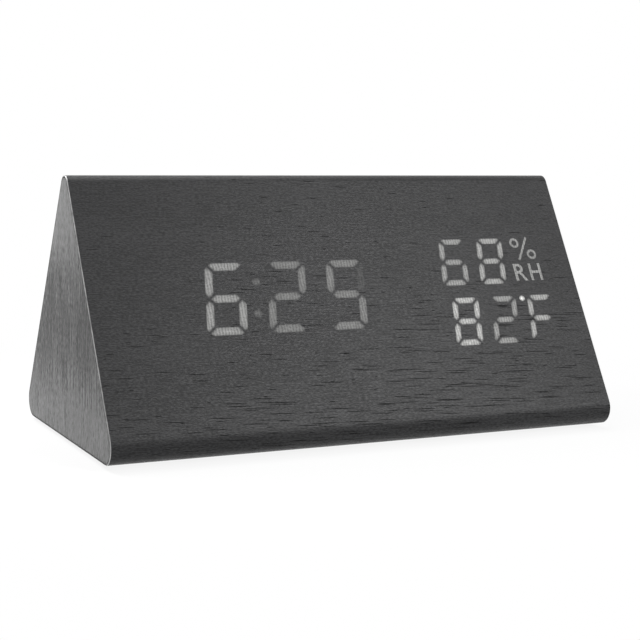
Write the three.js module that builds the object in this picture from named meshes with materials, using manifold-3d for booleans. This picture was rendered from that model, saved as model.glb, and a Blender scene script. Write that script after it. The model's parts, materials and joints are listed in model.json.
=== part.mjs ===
// Desk clock: a lying triangular prism of fibreboard wrapped in wood-grain film.
// A seven-segment readout shines through the front, the controls sit on the rear slope,
// and the battery bay opens in the base. Millimetres, +Z up, front towards -Y.

import * as THREE from 'three';
import { mergeVertices } from 'three/addons/utils/BufferGeometryUtils.js';
import Module from 'manifold-3d';

const wasm = await Module();
wasm.setup();

// Clearances
const glueLine = 0.1;
const seatGap = 0.2;
const fitGap = 0.3;

// Case section and length; the width and height run to the corners before rounding
const caseLength = 150;
const baseWidth = 85.5;
const apexHeight = 74;
const topRadius = 3.3;
const bottomRadius = 4.8;

// Case build-up
const filmThickness = 0.5;
const filmChamfer = 0.35;
const seamWidth = 0.3;
const seamFromCorner = 11;
const boardThickness = 5;
const boardInnerRadius = 0.6;
const mitreGap = 0.1;
const endPanelThickness = 5;
const endRebate = 1.5;
const endVeneerThickness = 0.5;

// Foot pads
const padRadius = 5;
const padHeight = 1;
const padEdge = 0.3;
const padFromEnd = 12;
const padFromCorner = 17.5;

// Readout block, in the front face: across is X, up is along the slope from the lower corner
const readoutLeftSpace = 5.7;
const readoutRightSpace = 3.1;
const reflectorHeight = 36.4;
const reflectorUp = 44.4;
const windowRadius = 2;
const diffuserThickness = 0.3;
const wellNarrowing = 0.75;

// Seven-segment digits
const digitLean = THREE.MathUtils.degToRad(8.2);
const segmentGap = 0.45;
const timeDigit = { width: 11.7, height: 20.9, bar: 2.4, clip: 0.7 };
const smallDigit = { width: 8.9, height: 14.7, bar: 1.9, clip: 0.6 };
const timeFromLeft = 8.75;
const timePitch = 17.85;
const timeUp = 44.9;
const colonSpread = 9.2;
const colonRadius = 1.15;
const smallFromRight = 31.4;
const smallPitch = 12.65;
const humidityUp = 53.5;
const temperatureUp = 35.05;
const degreeRise = 6.35;
const degreeRadius = 0.95;
const percentCell = { shift: -0.2, rise: 4, width: 9.4, height: 7.6, radius: 0.8 };
const unitCell = { shift: -0.6, rise: -3.8, width: 10.6, height: 6.4, radius: 0.8 };

// Circuit boards and the parts on them
const circuitThickness = 1.6;
const displayBelow = 6.6;
const displayAbove = 5.2;
const displayScrewOut = 3.1;
const displayScrewIn = 8;
const diode = { length: 1.6, width: 0.8, height: 0.6 };
const displayChip = { across: -30, up: 44, length: 18, width: 7.6, height: 2.3 };
const chipDraft = 0.4;
const socket = { length: 15, width: 6, height: 4 };
const displaySocketUp = 44;
const ribbonAcross = 10;
const ribbonWidth = 12.7;
const ribbonThickness = 0.9;
const ribbonBow = 9;
const ribbonSteps = 12;

// Rear panel, in the rear face: across runs to the right as seen from behind
const panelWidth = 84;
const panelHeight = 26;
const panelRadius = 4;
const panelThickness = 2;
const panelRecess = 0.2;
const panelUp = 42;
const panelLedge = 4;
const panelOpeningRadius = 3;
const panelScrewIn = 3;
const controlSideGap = 0.6;
const controlScrewAcross = 34;
const bossRadius = 2.3;

// Buttons and their push switches
const buttonNames = ['set', 'up', 'down'];
const buttonFirst = -24;
const buttonPitch = 13;
const buttonRadius = 3.5;
const buttonProud = 0.3;
const buttonEdge = 0.5;
const buttonGap = 0.25;
const buttonFlange = 1.2;
const buttonFlangeThickness = 0.7;
const buttonTravel = 0.3;
const dishMargin = 2;
const dishDepth = 0.5;
const switchSide = 6;
const switchHeight = 3.5;
const switchCorner = 0.5;
const plungerRadius = 1.7;
const plungerLength = 1.8;
const plungerGap = 0.2;

// Power inlet
const inletAcross = 19;
const inletWidth = 8.94;
const inletHeight = 3.26;
const inletLength = 6.8;
const inletWall = 0.3;
const inletSetback = 0.3;
const tongueGap = 0.15;
const tongueBase = 1.5;
const tongue = { width: 6.6, thickness: 0.7, length: 4.4 };

// Other parts of the control module
const soundHoleRadius = 0.6;
const microphone = { across: 10.5, radius: 3, height: 4.8, rim: 0.5 };
const sensor = { across: 28, length: 6, width: 8, height: 3 };
const sensorSlot = { count: 3, width: 1, pitch: 2, depth: 1 };
const controllerChip = { across: 6, length: 12, width: 7.6, height: 2.3 };
const buzzer = { across: -26, radius: 4.5, height: 5.2, hole: 1, bore: 3 };

// Battery bay for four slim cells, two rows of two in line
const cellDiameter = 10.5;
const cellLength = 44.5;
const cellPlay = 0.4;
const cellsInLine = 2;
const bayHeadroom = 1.3;
const spineHeight = 2;
const spineWidth = 3;
const tubWall = 1.6;
const tubRadius = 2;
const trayRecess = 0.4;
const flangeThickness = 2;
const flangeEnds = 6;
const flangeSides = 3.5;
const flangeRadius = 3;
const doorLedge = 1.5;
const collarWall = 2;
const collarRise = 1.2;
const trayScrewAcross = 3;
const trayScrewSide = 9;

// Battery door
const doorThickness = 2;
const hingePinRadius = 0.55;
const hingePinLength = 1.4;
const hingeGap = 0.15;
const tongueSlot = { width: 1, length: 8, spacing: 14 };
const gripGroove = { count: 3, width: 0.8, depth: 0.5, length: 10, pitch: 2 };

// Battery contacts
const contact = { width: 8, height: 9, thickness: 0.4 };
const contactNub = { base: 1.6, top: 1, height: 1 };
const contactTab = { width: 2, thickness: 0.4, reach: 2.2, rise: 3 };
const contactPocket = 0.1;
const springWire = 0.6;
const springBase = 3.6;
const springTip = 2.4;
const springTurns = 4;
const springFree = 7;
const springFitted = 4.5;

// Leads inside the case: hand-laid points between the contact's tab and the control board's pad
const leadDiameter = 1.2;
const leadRun = 3;
const positiveLay = [[-58.5, 6, 14], [-58.5, 7, 20], [-50, 8, 24.5], [-38, 8.6, 24.2], [-29, 9.2, 23.7]];
const negativeLay = [[-60, -4.5, 15], [-61, 0, 22.5], [-52, 3.6, 28], [-38, 4.6, 28.6], [-27, 5.6, 27.6]];
const positivePad = { across: 25.5, rise: -4.5 };
const negativePad = { across: 22, rise: 0 };
const leadSteps = 28;

// Screws
const woodScrew = { shank: 0.95, head: 2.1, rim: 0.1, cone: 1.1, length: 5, tip: 0.8 };
const panScrew = { shank: 0.8, head: 1.7, headHeight: 1.2, crown: 0.7, tip: 0.8 };
const displayScrewBite = 3.8;
const controlScrewBite = 2.8;
const screwGap = 0.15;
const driveSlot = { length: 2.2, width: 0.5, depth: 0.6 };

// Facets
const weldTolerance = 1e-4;
const cutPast = 1;
const wedgeReach = 1.5;
const caseArcSteps = 6;
const arcSteps = 2;
const roundSides = 18;
const screwSides = 10;
const springSides = 5;
const springStepsPerTurn = 8;
const gapSamplesPerTurn = 48;
const leadSides = 8;

// Depths below the outer faces, and where the case parts end
const baseAngle = Math.atan2(apexHeight, baseWidth / 2);
const filmBack = filmThickness;
const boardFront = filmThickness + glueLine;
const boardBack = boardFront + boardThickness;
const boardEnd = caseLength / 2 - endVeneerThickness - glueLine;
const frontFrame = new THREE.Matrix4()
  .makeTranslation(0, -baseWidth / 2, 0)
  .multiply(new THREE.Matrix4().makeRotationX(baseAngle));
const rearFrame = new THREE.Matrix4()
  .makeTranslation(0, baseWidth / 2, 0)
  .multiply(new THREE.Matrix4().makeRotationZ(Math.PI))
  .multiply(new THREE.Matrix4().makeRotationX(baseAngle));

// Readout places across the front face
const insideEnd = boardEnd - endPanelThickness;
const readoutLeft = -insideEnd + readoutLeftSpace;
const readoutRight = insideEnd - readoutRightSpace;
const reflectorWidth = readoutRight - readoutLeft;
const reflectorAcross = (readoutLeft + readoutRight) / 2;
const timeFirst = readoutLeft + timeFromLeft;
const smallFirst = readoutRight - smallFromRight;
const signPlace = smallFirst + 2 * smallPitch;

// Readout depths, measured outwards from the front face
const diffuserFront = -boardFront;
const reflectorFront = diffuserFront - diffuserThickness - glueLine;
const reflectorBack = -boardBack;
const displayFront = reflectorBack - glueLine;
const displayBack = displayFront - circuitThickness;

// Control depths, measured outwards from the rear face
const panelFace = -panelRecess;
const panelBack = panelFace - panelThickness;
const panelSeat = panelBack - seatGap;
const controlFront = panelFace - inletSetback - inletLength - glueLine;
const controlBack = controlFront - circuitThickness;
const controlSeat = controlFront + glueLine;
const openingWidth = panelWidth - 2 * panelLedge;
const openingHeight = panelHeight - 2 * panelLedge;

// Button heights along the rear face's outward direction
const flangeTop = panelBack - seatGap;
const flangeBottom = flangeTop - buttonFlangeThickness;
const plungerTop = flangeBottom - glueLine;
const plungerFoot = plungerTop - plungerLength;

// Battery bay, in the case's own frame
const rowPitch = cellDiameter + cellPlay;
const bayLength = cellsInLine * cellLength + springFitted + contactNub.height;
const bayWidth = 2 * rowPitch;
const bayHeight = cellDiameter + bayHeadroom;
const doorBack = trayRecess + doorThickness;
const bayFloor = doorBack + fitGap;
const bayCeiling = bayFloor + bayHeight;
const bayMiddle = bayFloor + bayHeight / 2;
const doorwayLength = bayLength + 2 * doorLedge;
const doorwayWidth = bayWidth + 2 * doorLedge;
const collarLength = doorwayLength + 2 * collarWall;
const collarWidth = doorwayWidth + 2 * collarWall;
const collarTop = bayFloor + collarRise;
const flangeLength = collarLength + 2 * flangeEnds;
const flangeWidth = collarWidth + 2 * flangeSides;
const flangeBack = trayRecess + flangeThickness;
const traySeat = flangeBack + seatGap;
const hingeY = doorwayWidth / 2 - fitGap - doorThickness / 2;
const hingeZ = trayRecess + doorThickness / 2;
const trayScrewX = collarLength / 2 + trayScrewAcross;

// Solid helpers

function solidOf(geometry) {
  const bare = geometry.clone();
  bare.deleteAttribute('normal');
  bare.deleteAttribute('uv');
  const merged = mergeVertices(bare, weldTolerance);
  const source = merged.index.array;
  const corners = [];
  for (let i = 0; i < source.length; i += 3) {
    const [a, b, c] = source.slice(i, i + 3);
    if (a !== b && b !== c && c !== a) {
      corners.push(a, b, c);
    }
  }
  const mesh = new wasm.Mesh({
    numProp: 3,
    vertProperties: new Float32Array(merged.getAttribute('position').array),
    triVerts: new Uint32Array(corners),
  });
  return new wasm.Manifold(mesh);
}

function geometryOf(solid) {
  const mesh = solid.getMesh();
  const geometry = new THREE.BufferGeometry();
  geometry.setAttribute('position', new THREE.BufferAttribute(new Float32Array(mesh.vertProperties), 3));
  geometry.setIndex(new THREE.BufferAttribute(new Uint32Array(mesh.triVerts), 1));
  geometry.computeVertexNormals();
  return geometry;
}

function cut(geometry, tools) {
  const start = solidOf(geometry);
  return geometryOf(tools.reduce((solid, tool) => solid.subtract(solidOf(tool)), start));
}

function join(geometries) {
  const solids = geometries.map(solidOf);
  return geometryOf(solids.reduce((whole, solid) => whole.add(solid)));
}

function common(geometry, tool) {
  return geometryOf(solidOf(geometry).intersect(solidOf(tool)));
}

// Shape helpers

function inFrame(geometry, frame) {
  return geometry.clone().applyMatrix4(frame);
}

function box(x0, x1, y0, y1, z0, z1) {
  const geometry = new THREE.BoxGeometry(x1 - x0, y1 - y0, z1 - z0);
  return geometry.translate((x0 + x1) / 2, (y0 + y1) / 2, (z0 + z1) / 2);
}

function middleBox(x, y, length, width, z0, z1) {
  return box(x - length / 2, x + length / 2, y - width / 2, y + width / 2, z0, z1);
}

function polygon(points) {
  return new THREE.Shape(points.map(([x, y]) => new THREE.Vector2(x, y)));
}

function roundedRectangle(x, y, width, height, radius) {
  const right = x + width / 2 - radius;
  const left = x - width / 2 + radius;
  const top = y + height / 2 - radius;
  const bottom = y - height / 2 + radius;
  const shape = new THREE.Shape();
  shape.absarc(right, bottom, radius, -Math.PI / 2, 0);
  shape.absarc(right, top, radius, 0, Math.PI / 2);
  shape.absarc(left, top, radius, Math.PI / 2, Math.PI);
  shape.absarc(left, bottom, radius, Math.PI, 1.5 * Math.PI);
  shape.closePath();
  return shape;
}

function slab(shape, z0, z1, steps = arcSteps) {
  const options = { depth: z1 - z0, bevelEnabled: false, curveSegments: steps };
  return new THREE.ExtrudeGeometry(shape, options).translate(0, 0, z0);
}

function chamferedSlab(shape, z0, z1, chamfer, steps = arcSteps) {
  const options = {
    depth: z1 - z0 - 2 * chamfer,
    bevelThickness: chamfer,
    bevelSize: chamfer,
    bevelOffset: -chamfer,
    bevelSegments: 1,
    curveSegments: steps,
  };
  return new THREE.ExtrudeGeometry(shape, options).translate(0, 0, z0 + chamfer);
}

// Shapes drawn in the case's section have Y to the right and Z up; this lays them along X
function alongX(geometry) {
  const turn = new THREE.Matrix4().makeBasis(
    new THREE.Vector3(0, 1, 0),
    new THREE.Vector3(0, 0, 1),
    new THREE.Vector3(1, 0, 0),
  );
  return geometry.applyMatrix4(turn);
}

function turned(profile, sides) {
  const points = profile.map(([radius, height]) => new THREE.Vector2(radius, height));
  return new THREE.LatheGeometry(points, sides).rotateX(Math.PI / 2);
}

function peg(x, y, radius, z0, z1, sides) {
  const geometry = new THREE.CylinderGeometry(radius, radius, z1 - z0, sides).rotateX(Math.PI / 2);
  return geometry.translate(x, y, (z0 + z1) / 2);
}

// Case

function caseSection(inset) {
  const lower = Math.max(bottomRadius - inset, boardInnerRadius);
  const upper = Math.max(topRadius - inset, boardInnerRadius);
  const cornerY = baseWidth / 2 - (inset + lower) / Math.tan(baseAngle / 2);
  const cornerZ = inset + lower;
  const topZ = apexHeight - (inset + upper) / Math.cos(baseAngle);
  const slope = Math.PI / 2 - baseAngle;
  const shape = new THREE.Shape();
  shape.absarc(cornerY, cornerZ, lower, -Math.PI / 2, slope);
  shape.absarc(0, topZ, upper, slope, Math.PI - slope);
  shape.absarc(-cornerY, cornerZ, lower, Math.PI - slope, 1.5 * Math.PI);
  shape.closePath();
  return shape;
}

function casePrism(inset, x0, x1) {
  return alongX(slab(caseSection(inset), x0, x1, caseArcSteps));
}

// Each board is the part of the tube between two mitre planes, which meet at the section's middle
function boardWedge(first, second, outward) {
  const side = Math.hypot(apexHeight, baseWidth / 2);
  const middleZ = (baseWidth * apexHeight) / (baseWidth + 2 * side);
  const corner = ([y, z]) => [
    y * wedgeReach + outward[0] * mitreGap,
    middleZ + (z - middleZ) * wedgeReach + outward[1] * mitreGap,
  ];
  const start = [outward[0] * mitreGap, middleZ + outward[1] * mitreGap];
  const shape = polygon([start, corner(first), corner(second)]);
  return alongX(slab(shape, -caseLength, caseLength));
}

function tube() {
  const past = boardEnd + cutPast;
  const shoulder = boardEnd - endPanelThickness - glueLine;
  const rebate = boardBack - endRebate;
  return cut(casePrism(boardFront, -boardEnd, boardEnd), [
    casePrism(boardBack, -past, past),
    casePrism(rebate, shoulder, past),
    casePrism(rebate, -past, -shoulder),
  ]);
}

const rearCorner = [baseWidth / 2, 0];
const frontCorner = [-baseWidth / 2, 0];
const topCorner = [0, apexHeight];
const screwHole = woodScrew.shank + screwGap;

function fourPlaces(x, y, halfLength, halfWidth) {
  const corners = [[-1, -1], [1, -1], [-1, 1], [1, 1]];
  return corners.map(([right, above]) => [x + right * halfLength, y + above * halfWidth]);
}

function displayScrewPlaces() {
  const across = reflectorWidth / 2 - displayScrewIn;
  const up = reflectorHeight / 2 + displayScrewOut;
  return fourPlaces(reflectorAcross, reflectorUp, across, up);
}

function panelScrewPlaces() {
  const across = panelWidth / 2 - panelScrewIn;
  const up = panelHeight / 2 - panelScrewIn;
  return fourPlaces(0, panelUp, across, up);
}

function trayScrewPlaces() {
  return fourPlaces(0, 0, trayScrewX, trayScrewSide);
}

function faceDirection(side) {
  return [side * Math.sin(baseAngle), Math.cos(baseAngle)];
}

function frontBoard() {
  const opening = roundedRectangle(
    reflectorAcross,
    reflectorUp,
    reflectorWidth + 2 * fitGap,
    reflectorHeight + 2 * fitGap,
    windowRadius + fitGap,
  );
  const pilot = panScrew.shank + screwGap;
  const pilotEnd = reflectorBack + displayScrewBite + fitGap;
  const holes = displayScrewPlaces().map(([across, up]) =>
    peg(across, up, pilot, reflectorBack - cutPast, pilotEnd, screwSides));
  const tools = [slab(opening, reflectorBack - cutPast, cutPast), ...holes];
  const board = common(tube(), boardWedge(frontCorner, topCorner, faceDirection(-1)));
  return cut(board, tools.map((tool) => inFrame(tool, frontFrame)));
}

function panelPocket() {
  const outline = roundedRectangle(
    0,
    panelUp,
    panelWidth + 2 * fitGap,
    panelHeight + 2 * fitGap,
    panelRadius + fitGap,
  );
  return inFrame(slab(outline, panelSeat, cutPast), rearFrame);
}

function rearBoard() {
  const opening = roundedRectangle(0, panelUp, openingWidth, openingHeight, panelOpeningRadius);
  const holes = panelScrewPlaces().map(([across, up]) =>
    peg(across, up, screwHole, -boardBack - cutPast, 0, screwSides));
  const tools = [slab(opening, -boardBack - cutPast, 0), ...holes];
  const board = common(tube(), boardWedge(topCorner, rearCorner, faceDirection(1)));
  return cut(board, [panelPocket(), ...tools.map((tool) => inFrame(tool, rearFrame))]);
}

function trayPocket() {
  const outline = roundedRectangle(
    0,
    0,
    flangeLength + 2 * fitGap,
    flangeWidth + 2 * fitGap,
    flangeRadius + fitGap,
  );
  return slab(outline, -cutPast, traySeat);
}

function baseBoard() {
  const opening = roundedRectangle(
    0,
    0,
    collarLength + 2 * fitGap,
    collarWidth + 2 * fitGap,
    tubRadius + fitGap,
  );
  const holes = trayScrewPlaces().map(([x, y]) =>
    peg(x, y, screwHole, 0, boardBack + cutPast, screwSides));
  const board = common(tube(), boardWedge(frontCorner, rearCorner, [0, -1]));
  return cut(board, [trayPocket(), slab(opening, 0, boardBack + cutPast), ...holes]);
}

function filmWrap() {
  const half = caseLength / 2;
  const section = caseSection(0);
  const outer = alongX(chamferedSlab(section, -half, half, filmChamfer, caseArcSteps));
  const seamY = baseWidth / 2 - seamFromCorner;
  const seam = middleBox(0, seamY, caseLength + 2 * cutPast, seamWidth, -cutPast, filmBack + cutPast);
  const inside = casePrism(filmBack, -half - cutPast, half + cutPast);
  return cut(outer, [inside, seam, panelPocket(), trayPocket()]);
}

function endPanel(side) {
  const inset = boardBack - endRebate + seatGap;
  const inner = side * (boardEnd - endPanelThickness);
  const outer = side * boardEnd;
  return casePrism(inset, Math.min(inner, outer), Math.max(inner, outer));
}

function endVeneer(side) {
  const outer = (side * caseLength) / 2;
  const inner = outer - side * endVeneerThickness;
  return casePrism(boardFront, Math.min(inner, outer), Math.max(inner, outer));
}

function footPad(x, y) {
  const profile = [
    [0, -padHeight],
    [padRadius - padEdge, -padHeight],
    [padRadius, -padHeight + padEdge],
    [padRadius, 0],
    [0, 0],
  ];
  return turned(profile, roundSides).translate(x, y, -glueLine);
}

// Readout

// The seven bars of a digit about its middle, with mitred ends and a dark gap between them
function segmentOutlines({ width, height, bar, clip }) {
  const right = width / 2;
  const top = height / 2;
  const gap = segmentGap * Math.SQRT1_2;
  const tipOut = (clip + gap) / 2;
  const tipIn = (clip - gap) / 2;
  const cap = [
    [right - clip, top],
    [right - tipOut, top - tipIn],
    [right - bar - gap, top - bar],
    [-right + bar + gap, top - bar],
    [-right + tipOut, top - tipIn],
    [-right + clip, top],
  ];
  const post = [
    [right, top - clip],
    [right, bar / 2 + gap],
    [right - bar / 2, gap],
    [right - bar, bar / 2 + gap],
    [right - bar, top - bar - gap],
    [right - tipIn, top - tipOut],
  ];
  const middle = [
    [right - bar / 2 - gap, 0],
    [right - bar - gap, bar / 2],
    [-right + bar + gap, bar / 2],
    [-right + bar / 2 + gap, 0],
    [-right + bar + gap, -bar / 2],
    [right - bar - gap, -bar / 2],
  ];
  const flipped = (points, x, y) => points.map((point) => [point[0] * x, point[1] * y]);
  const level = [cap, middle, flipped(cap, 1, -1)];
  const upright = [post, flipped(post, -1, 1), flipped(post, 1, -1), flipped(post, -1, -1)];
  return [
    ...level.map((points) => ({ points, upright: false })),
    ...upright.map((points) => ({ points, upright: true })),
  ];
}

function digitSegments(digit, across, up) {
  const lean = Math.tan(digitLean);
  return segmentOutlines(digit).map(({ points, upright }) => ({
    points: points.map(([x, y]) => [across + x + y * lean, up + y]),
    upright,
  }));
}

function allSegments() {
  const segments = [];
  for (let place = 0; place < 4; place += 1) {
    segments.push(...digitSegments(timeDigit, timeFirst + place * timePitch, timeUp));
  }
  for (let place = 0; place < 2; place += 1) {
    segments.push(...digitSegments(smallDigit, smallFirst + place * smallPitch, humidityUp));
  }
  for (let place = 0; place < 3; place += 1) {
    segments.push(...digitSegments(smallDigit, smallFirst + place * smallPitch, temperatureUp));
  }
  return segments;
}

function readoutDots() {
  const lean = Math.tan(digitLean);
  const colonAcross = timeFirst + 1.5 * timePitch;
  const degreeAcross = smallFirst + 1.5 * smallPitch;
  const dots = [-1, 1].map((side) => {
    const rise = (side * colonSpread) / 2;
    return { across: colonAcross + rise * lean, up: timeUp + rise, radius: colonRadius };
  });
  dots.push({
    across: degreeAcross + degreeRise * lean,
    up: temperatureUp + degreeRise,
    radius: degreeRadius,
  });
  return dots;
}

function middleOf(points) {
  const sum = points.reduce(([x, y], point) => [x + point[0], y + point[1]], [0, 0]);
  return [sum[0] / points.length, sum[1] / points.length];
}

function displayDiffuser() {
  const outline = roundedRectangle(
    reflectorAcross,
    reflectorUp,
    reflectorWidth,
    reflectorHeight,
    windowRadius,
  );
  return slab(outline, diffuserFront - diffuserThickness, diffuserFront);
}

// A light well narrows from the full outline at the front to the diode at the back
function wellTool(shape, [middleX, middleY]) {
  const back = reflectorBack - cutPast;
  const front = reflectorFront + cutPast;
  const tool = slab(shape, back, front);
  const place = tool.getAttribute('position');
  for (let index = 0; index < place.count; index += 1) {
    const share = (place.getZ(index) - back) / (front - back);
    const scale = wellNarrowing + (1 - wellNarrowing) * share;
    const x = middleX + (place.getX(index) - middleX) * scale;
    const y = middleY + (place.getY(index) - middleY) * scale;
    place.setXY(index, x, y);
  }
  return tool;
}

function cellMiddle({ shift, rise }) {
  return [signPlace + shift, humidityUp + rise];
}

function cellShape(cell) {
  return roundedRectangle(...cellMiddle(cell), cell.width, cell.height, cell.radius);
}

function displayReflector() {
  const outline = roundedRectangle(
    reflectorAcross,
    reflectorUp,
    reflectorWidth,
    reflectorHeight,
    windowRadius,
  );
  const wells = allSegments().map(({ points }) => wellTool(polygon(points), middleOf(points)));
  for (const { across, up, radius } of readoutDots()) {
    wells.push(peg(across, up, radius, reflectorBack - cutPast, reflectorFront + cutPast, screwSides));
  }
  for (const cell of [percentCell, unitCell]) {
    wells.push(wellTool(cellShape(cell), cellMiddle(cell)));
  }
  return cut(slab(outline, reflectorBack, reflectorFront), wells);
}

function displayBoard() {
  const low = reflectorUp - reflectorHeight / 2 - displayBelow;
  const high = reflectorUp + reflectorHeight / 2 + displayAbove;
  const left = reflectorAcross - reflectorWidth / 2;
  const right = reflectorAcross + reflectorWidth / 2;
  const plate = box(left, right, low, high, displayBack, displayFront);
  const holes = displayScrewPlaces().map(([across, up]) =>
    peg(across, up, panScrew.shank + screwGap, displayBack - cutPast, displayFront + cutPast, screwSides));
  const sunk = diode.height / 2;
  const light = (across, up, upright) => middleBox(
    across,
    up,
    upright ? diode.width : diode.length,
    upright ? diode.length : diode.width,
    displayFront - sunk,
    displayFront + diode.height,
  );
  const lights = allSegments().map(({ points, upright }) => light(...middleOf(points), upright));
  const dots = readoutDots().map(({ across, up }) =>
    middleBox(across, up, diode.width, diode.width, displayFront - sunk, displayFront + diode.height));
  const cells = [percentCell, unitCell].map((cell) => light(...cellMiddle(cell), false));
  return join([cut(plate, holes), ...lights, ...dots, ...cells]);
}

// A chip package with drafted sides and its pin-one dimple
function chip({ length, width, height }, across, up, back) {
  const body = chamferedSlab(roundedRectangle(0, 0, length, width, 2 * chipDraft), -height, 0, chipDraft);
  const dimpleX = -length / 2 + height;
  const floor = -height + chipDraft;
  const dimple = peg(dimpleX, width / 4, chipDraft, -height - cutPast, floor, screwSides);
  return cut(body, [dimple]).translate(across, up, back - glueLine);
}

// A box header whose open mouth takes the flat lead
function ribbonSocket(across, up, back) {
  const mouth = { length: ribbonWidth + 2 * fitGap, width: ribbonThickness + 2 * fitGap };
  const top = -socket.height;
  const body = middleBox(0, 0, socket.length, socket.width, top, 0);
  const slot = middleBox(0, 0, mouth.length, mouth.width, top - cutPast, top + socket.height / 2);
  return cut(body, [slot]).translate(across, up, back - glueLine);
}

function sectionPoint(frame, up, out) {
  const point = new THREE.Vector3(0, up, out).applyMatrix4(frame);
  return new THREE.Vector2(point.y, point.z);
}

// The flat lead bows down between the two sockets, pushed into each mouth
function ribbonCable() {
  const pushed = socket.height / 2 - fitGap;
  const displayOut = displayBack - glueLine - socket.height + pushed;
  const controlOut = controlBack - glueLine - socket.height + pushed;
  const start = sectionPoint(frontFrame, displaySocketUp, displayOut);
  const end = sectionPoint(rearFrame, panelUp, controlOut);
  const bow = ribbonBow + pushed;
  const first = sectionPoint(frontFrame, displaySocketUp, displayOut - bow);
  const last = sectionPoint(rearFrame, panelUp, controlOut - bow);
  const curve = new THREE.CubicBezierCurve(start, first, last, end);
  const above = [];
  const below = [];
  for (let step = 0; step <= ribbonSteps; step += 1) {
    const at = step / ribbonSteps;
    const point = curve.getPoint(at);
    const along = curve.getTangent(at);
    const half = new THREE.Vector2(-along.y, along.x).multiplyScalar(ribbonThickness / 2);
    above.push(point.clone().add(half));
    below.unshift(point.clone().sub(half));
  }
  const shape = new THREE.Shape([...below, ...above]);
  const left = ribbonAcross - ribbonWidth / 2;
  return alongX(slab(shape, left, left + ribbonWidth));
}

// Screws

function driveCross(top) {
  const past = top + cutPast;
  const floor = top - driveSlot.depth;
  return join([
    middleBox(0, 0, driveSlot.length, driveSlot.width, floor, past),
    middleBox(0, 0, driveSlot.width, driveSlot.length, floor, past),
  ]);
}

// A countersunk screw with its head's flat at height zero
function countersunkScrew() {
  const { shank, head, rim, cone, length, tip } = woodScrew;
  const profile = [
    [0, -length],
    [shank, -length + tip],
    [shank, -cone],
    [head, -rim],
    [head, 0],
    [0, 0],
  ];
  return cut(turned(profile, screwSides), [driveCross(0)]);
}

function countersinkTool(depth) {
  const { shank, head, rim, cone } = woodScrew;
  const profile = [
    [0, -depth - cutPast],
    [shank + screwGap, -depth - cutPast],
    [shank + screwGap, -cone - screwGap],
    [head + screwGap, -rim - screwGap],
    [head + screwGap, cutPast],
    [0, cutPast],
  ];
  return turned(profile, screwSides);
}

// A pan-head screw with the underside of its head at height zero, pointing up
function panHeadScrew(length) {
  const { shank, head, headHeight, crown, tip } = panScrew;
  const profile = [
    [0, -headHeight],
    [head - crown / 2, -headHeight],
    [head, -headHeight + crown],
    [head, 0],
    [shank, 0],
    [shank, length - tip],
    [0, length],
  ];
  const slots = driveCross(0).rotateX(Math.PI).translate(0, 0, -headHeight);
  return cut(turned(profile, screwSides), [slots]);
}

// Rear control module

function rearPanel() {
  const plate = slab(
    roundedRectangle(0, panelUp, panelWidth, panelHeight, panelRadius),
    panelBack,
    panelFace,
  );
  const bossRoot = panelBack + panelThickness / 2;
  const bosses = [-1, 1].map((side) =>
    peg(side * controlScrewAcross, panelUp, bossRadius, controlSeat, bossRoot, roundSides));
  const dishSpan = (buttonNames.length - 1) * buttonPitch;
  const dishWidth = 2 * (buttonRadius + dishMargin);
  const dish = roundedRectangle(
    buttonFirst + dishSpan / 2,
    panelUp,
    dishSpan + dishWidth,
    dishWidth,
    buttonRadius + dishMargin,
  );
  const tools = [slab(dish, panelFace - dishDepth, panelFace + cutPast)];
  const through = [panelBack - cutPast, panelFace + cutPast];
  buttonNames.forEach((name, index) => {
    const across = buttonFirst + index * buttonPitch;
    tools.push(peg(across, panelUp, buttonRadius + buttonGap, ...through, roundSides));
  });
  tools.push(slab(inletOutline(fitGap), ...through));
  tools.push(peg(microphone.across, panelUp, soundHoleRadius, ...through, screwSides));
  for (let index = 0; index < sensorSlot.count; index += 1) {
    const across = sensor.across + (index - (sensorSlot.count - 1) / 2) * sensorSlot.pitch;
    const slot = roundedRectangle(across, panelUp, sensorSlot.width, sensor.width, sensorSlot.width / 2);
    tools.push(slab(slot, ...through));
  }
  for (const [across, up] of panelScrewPlaces()) {
    tools.push(countersinkTool(panelThickness).translate(across, up, panelFace - glueLine));
  }
  const pilot = panScrew.shank + screwGap;
  const pilotEnd = controlFront + controlScrewBite + fitGap;
  for (const side of [-1, 1]) {
    const across = side * controlScrewAcross;
    tools.push(peg(across, panelUp, pilot, controlFront - cutPast, pilotEnd, screwSides));
  }
  return cut(join([plate, ...bosses]), tools);
}

function button(index) {
  const top = panelFace + buttonProud;
  const bend = buttonEdge * (1 - Math.SQRT1_2);
  const wide = buttonRadius + buttonFlange;
  const profile = [
    [0, flangeBottom],
    [wide, flangeBottom],
    [wide, flangeTop],
    [buttonRadius, flangeTop],
    [buttonRadius, top - buttonEdge],
    [buttonRadius - bend, top - bend],
    [buttonRadius - buttonEdge, top],
    [0, top],
  ];
  return turned(profile, roundSides).translate(buttonFirst + index * buttonPitch, panelUp, 0);
}

function plunger(index) {
  const across = buttonFirst + index * buttonPitch;
  return peg(across, panelUp, plungerRadius, plungerFoot, plungerTop, screwSides);
}

function pushSwitch(index) {
  const across = buttonFirst + index * buttonPitch;
  const top = controlSeat + switchHeight;
  const outline = roundedRectangle(across, panelUp, switchSide, switchSide, switchCorner);
  const boreFloor = plungerFoot - buttonTravel - seatGap;
  const bore = peg(across, panelUp, plungerRadius + plungerGap, boreFloor, top + cutPast, screwSides);
  return cut(slab(outline, controlSeat, top), [bore]);
}

function inletOutline(margin) {
  const width = inletWidth + 2 * margin;
  const height = inletHeight + 2 * margin;
  return roundedRectangle(inletAcross, panelUp, width, height, height / 2 - glueLine);
}

function usbShell() {
  const front = controlSeat + inletLength;
  const inside = slab(inletOutline(-inletWall), controlSeat - cutPast, front + cutPast);
  return cut(slab(inletOutline(0), controlSeat, front), [inside]);
}

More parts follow.
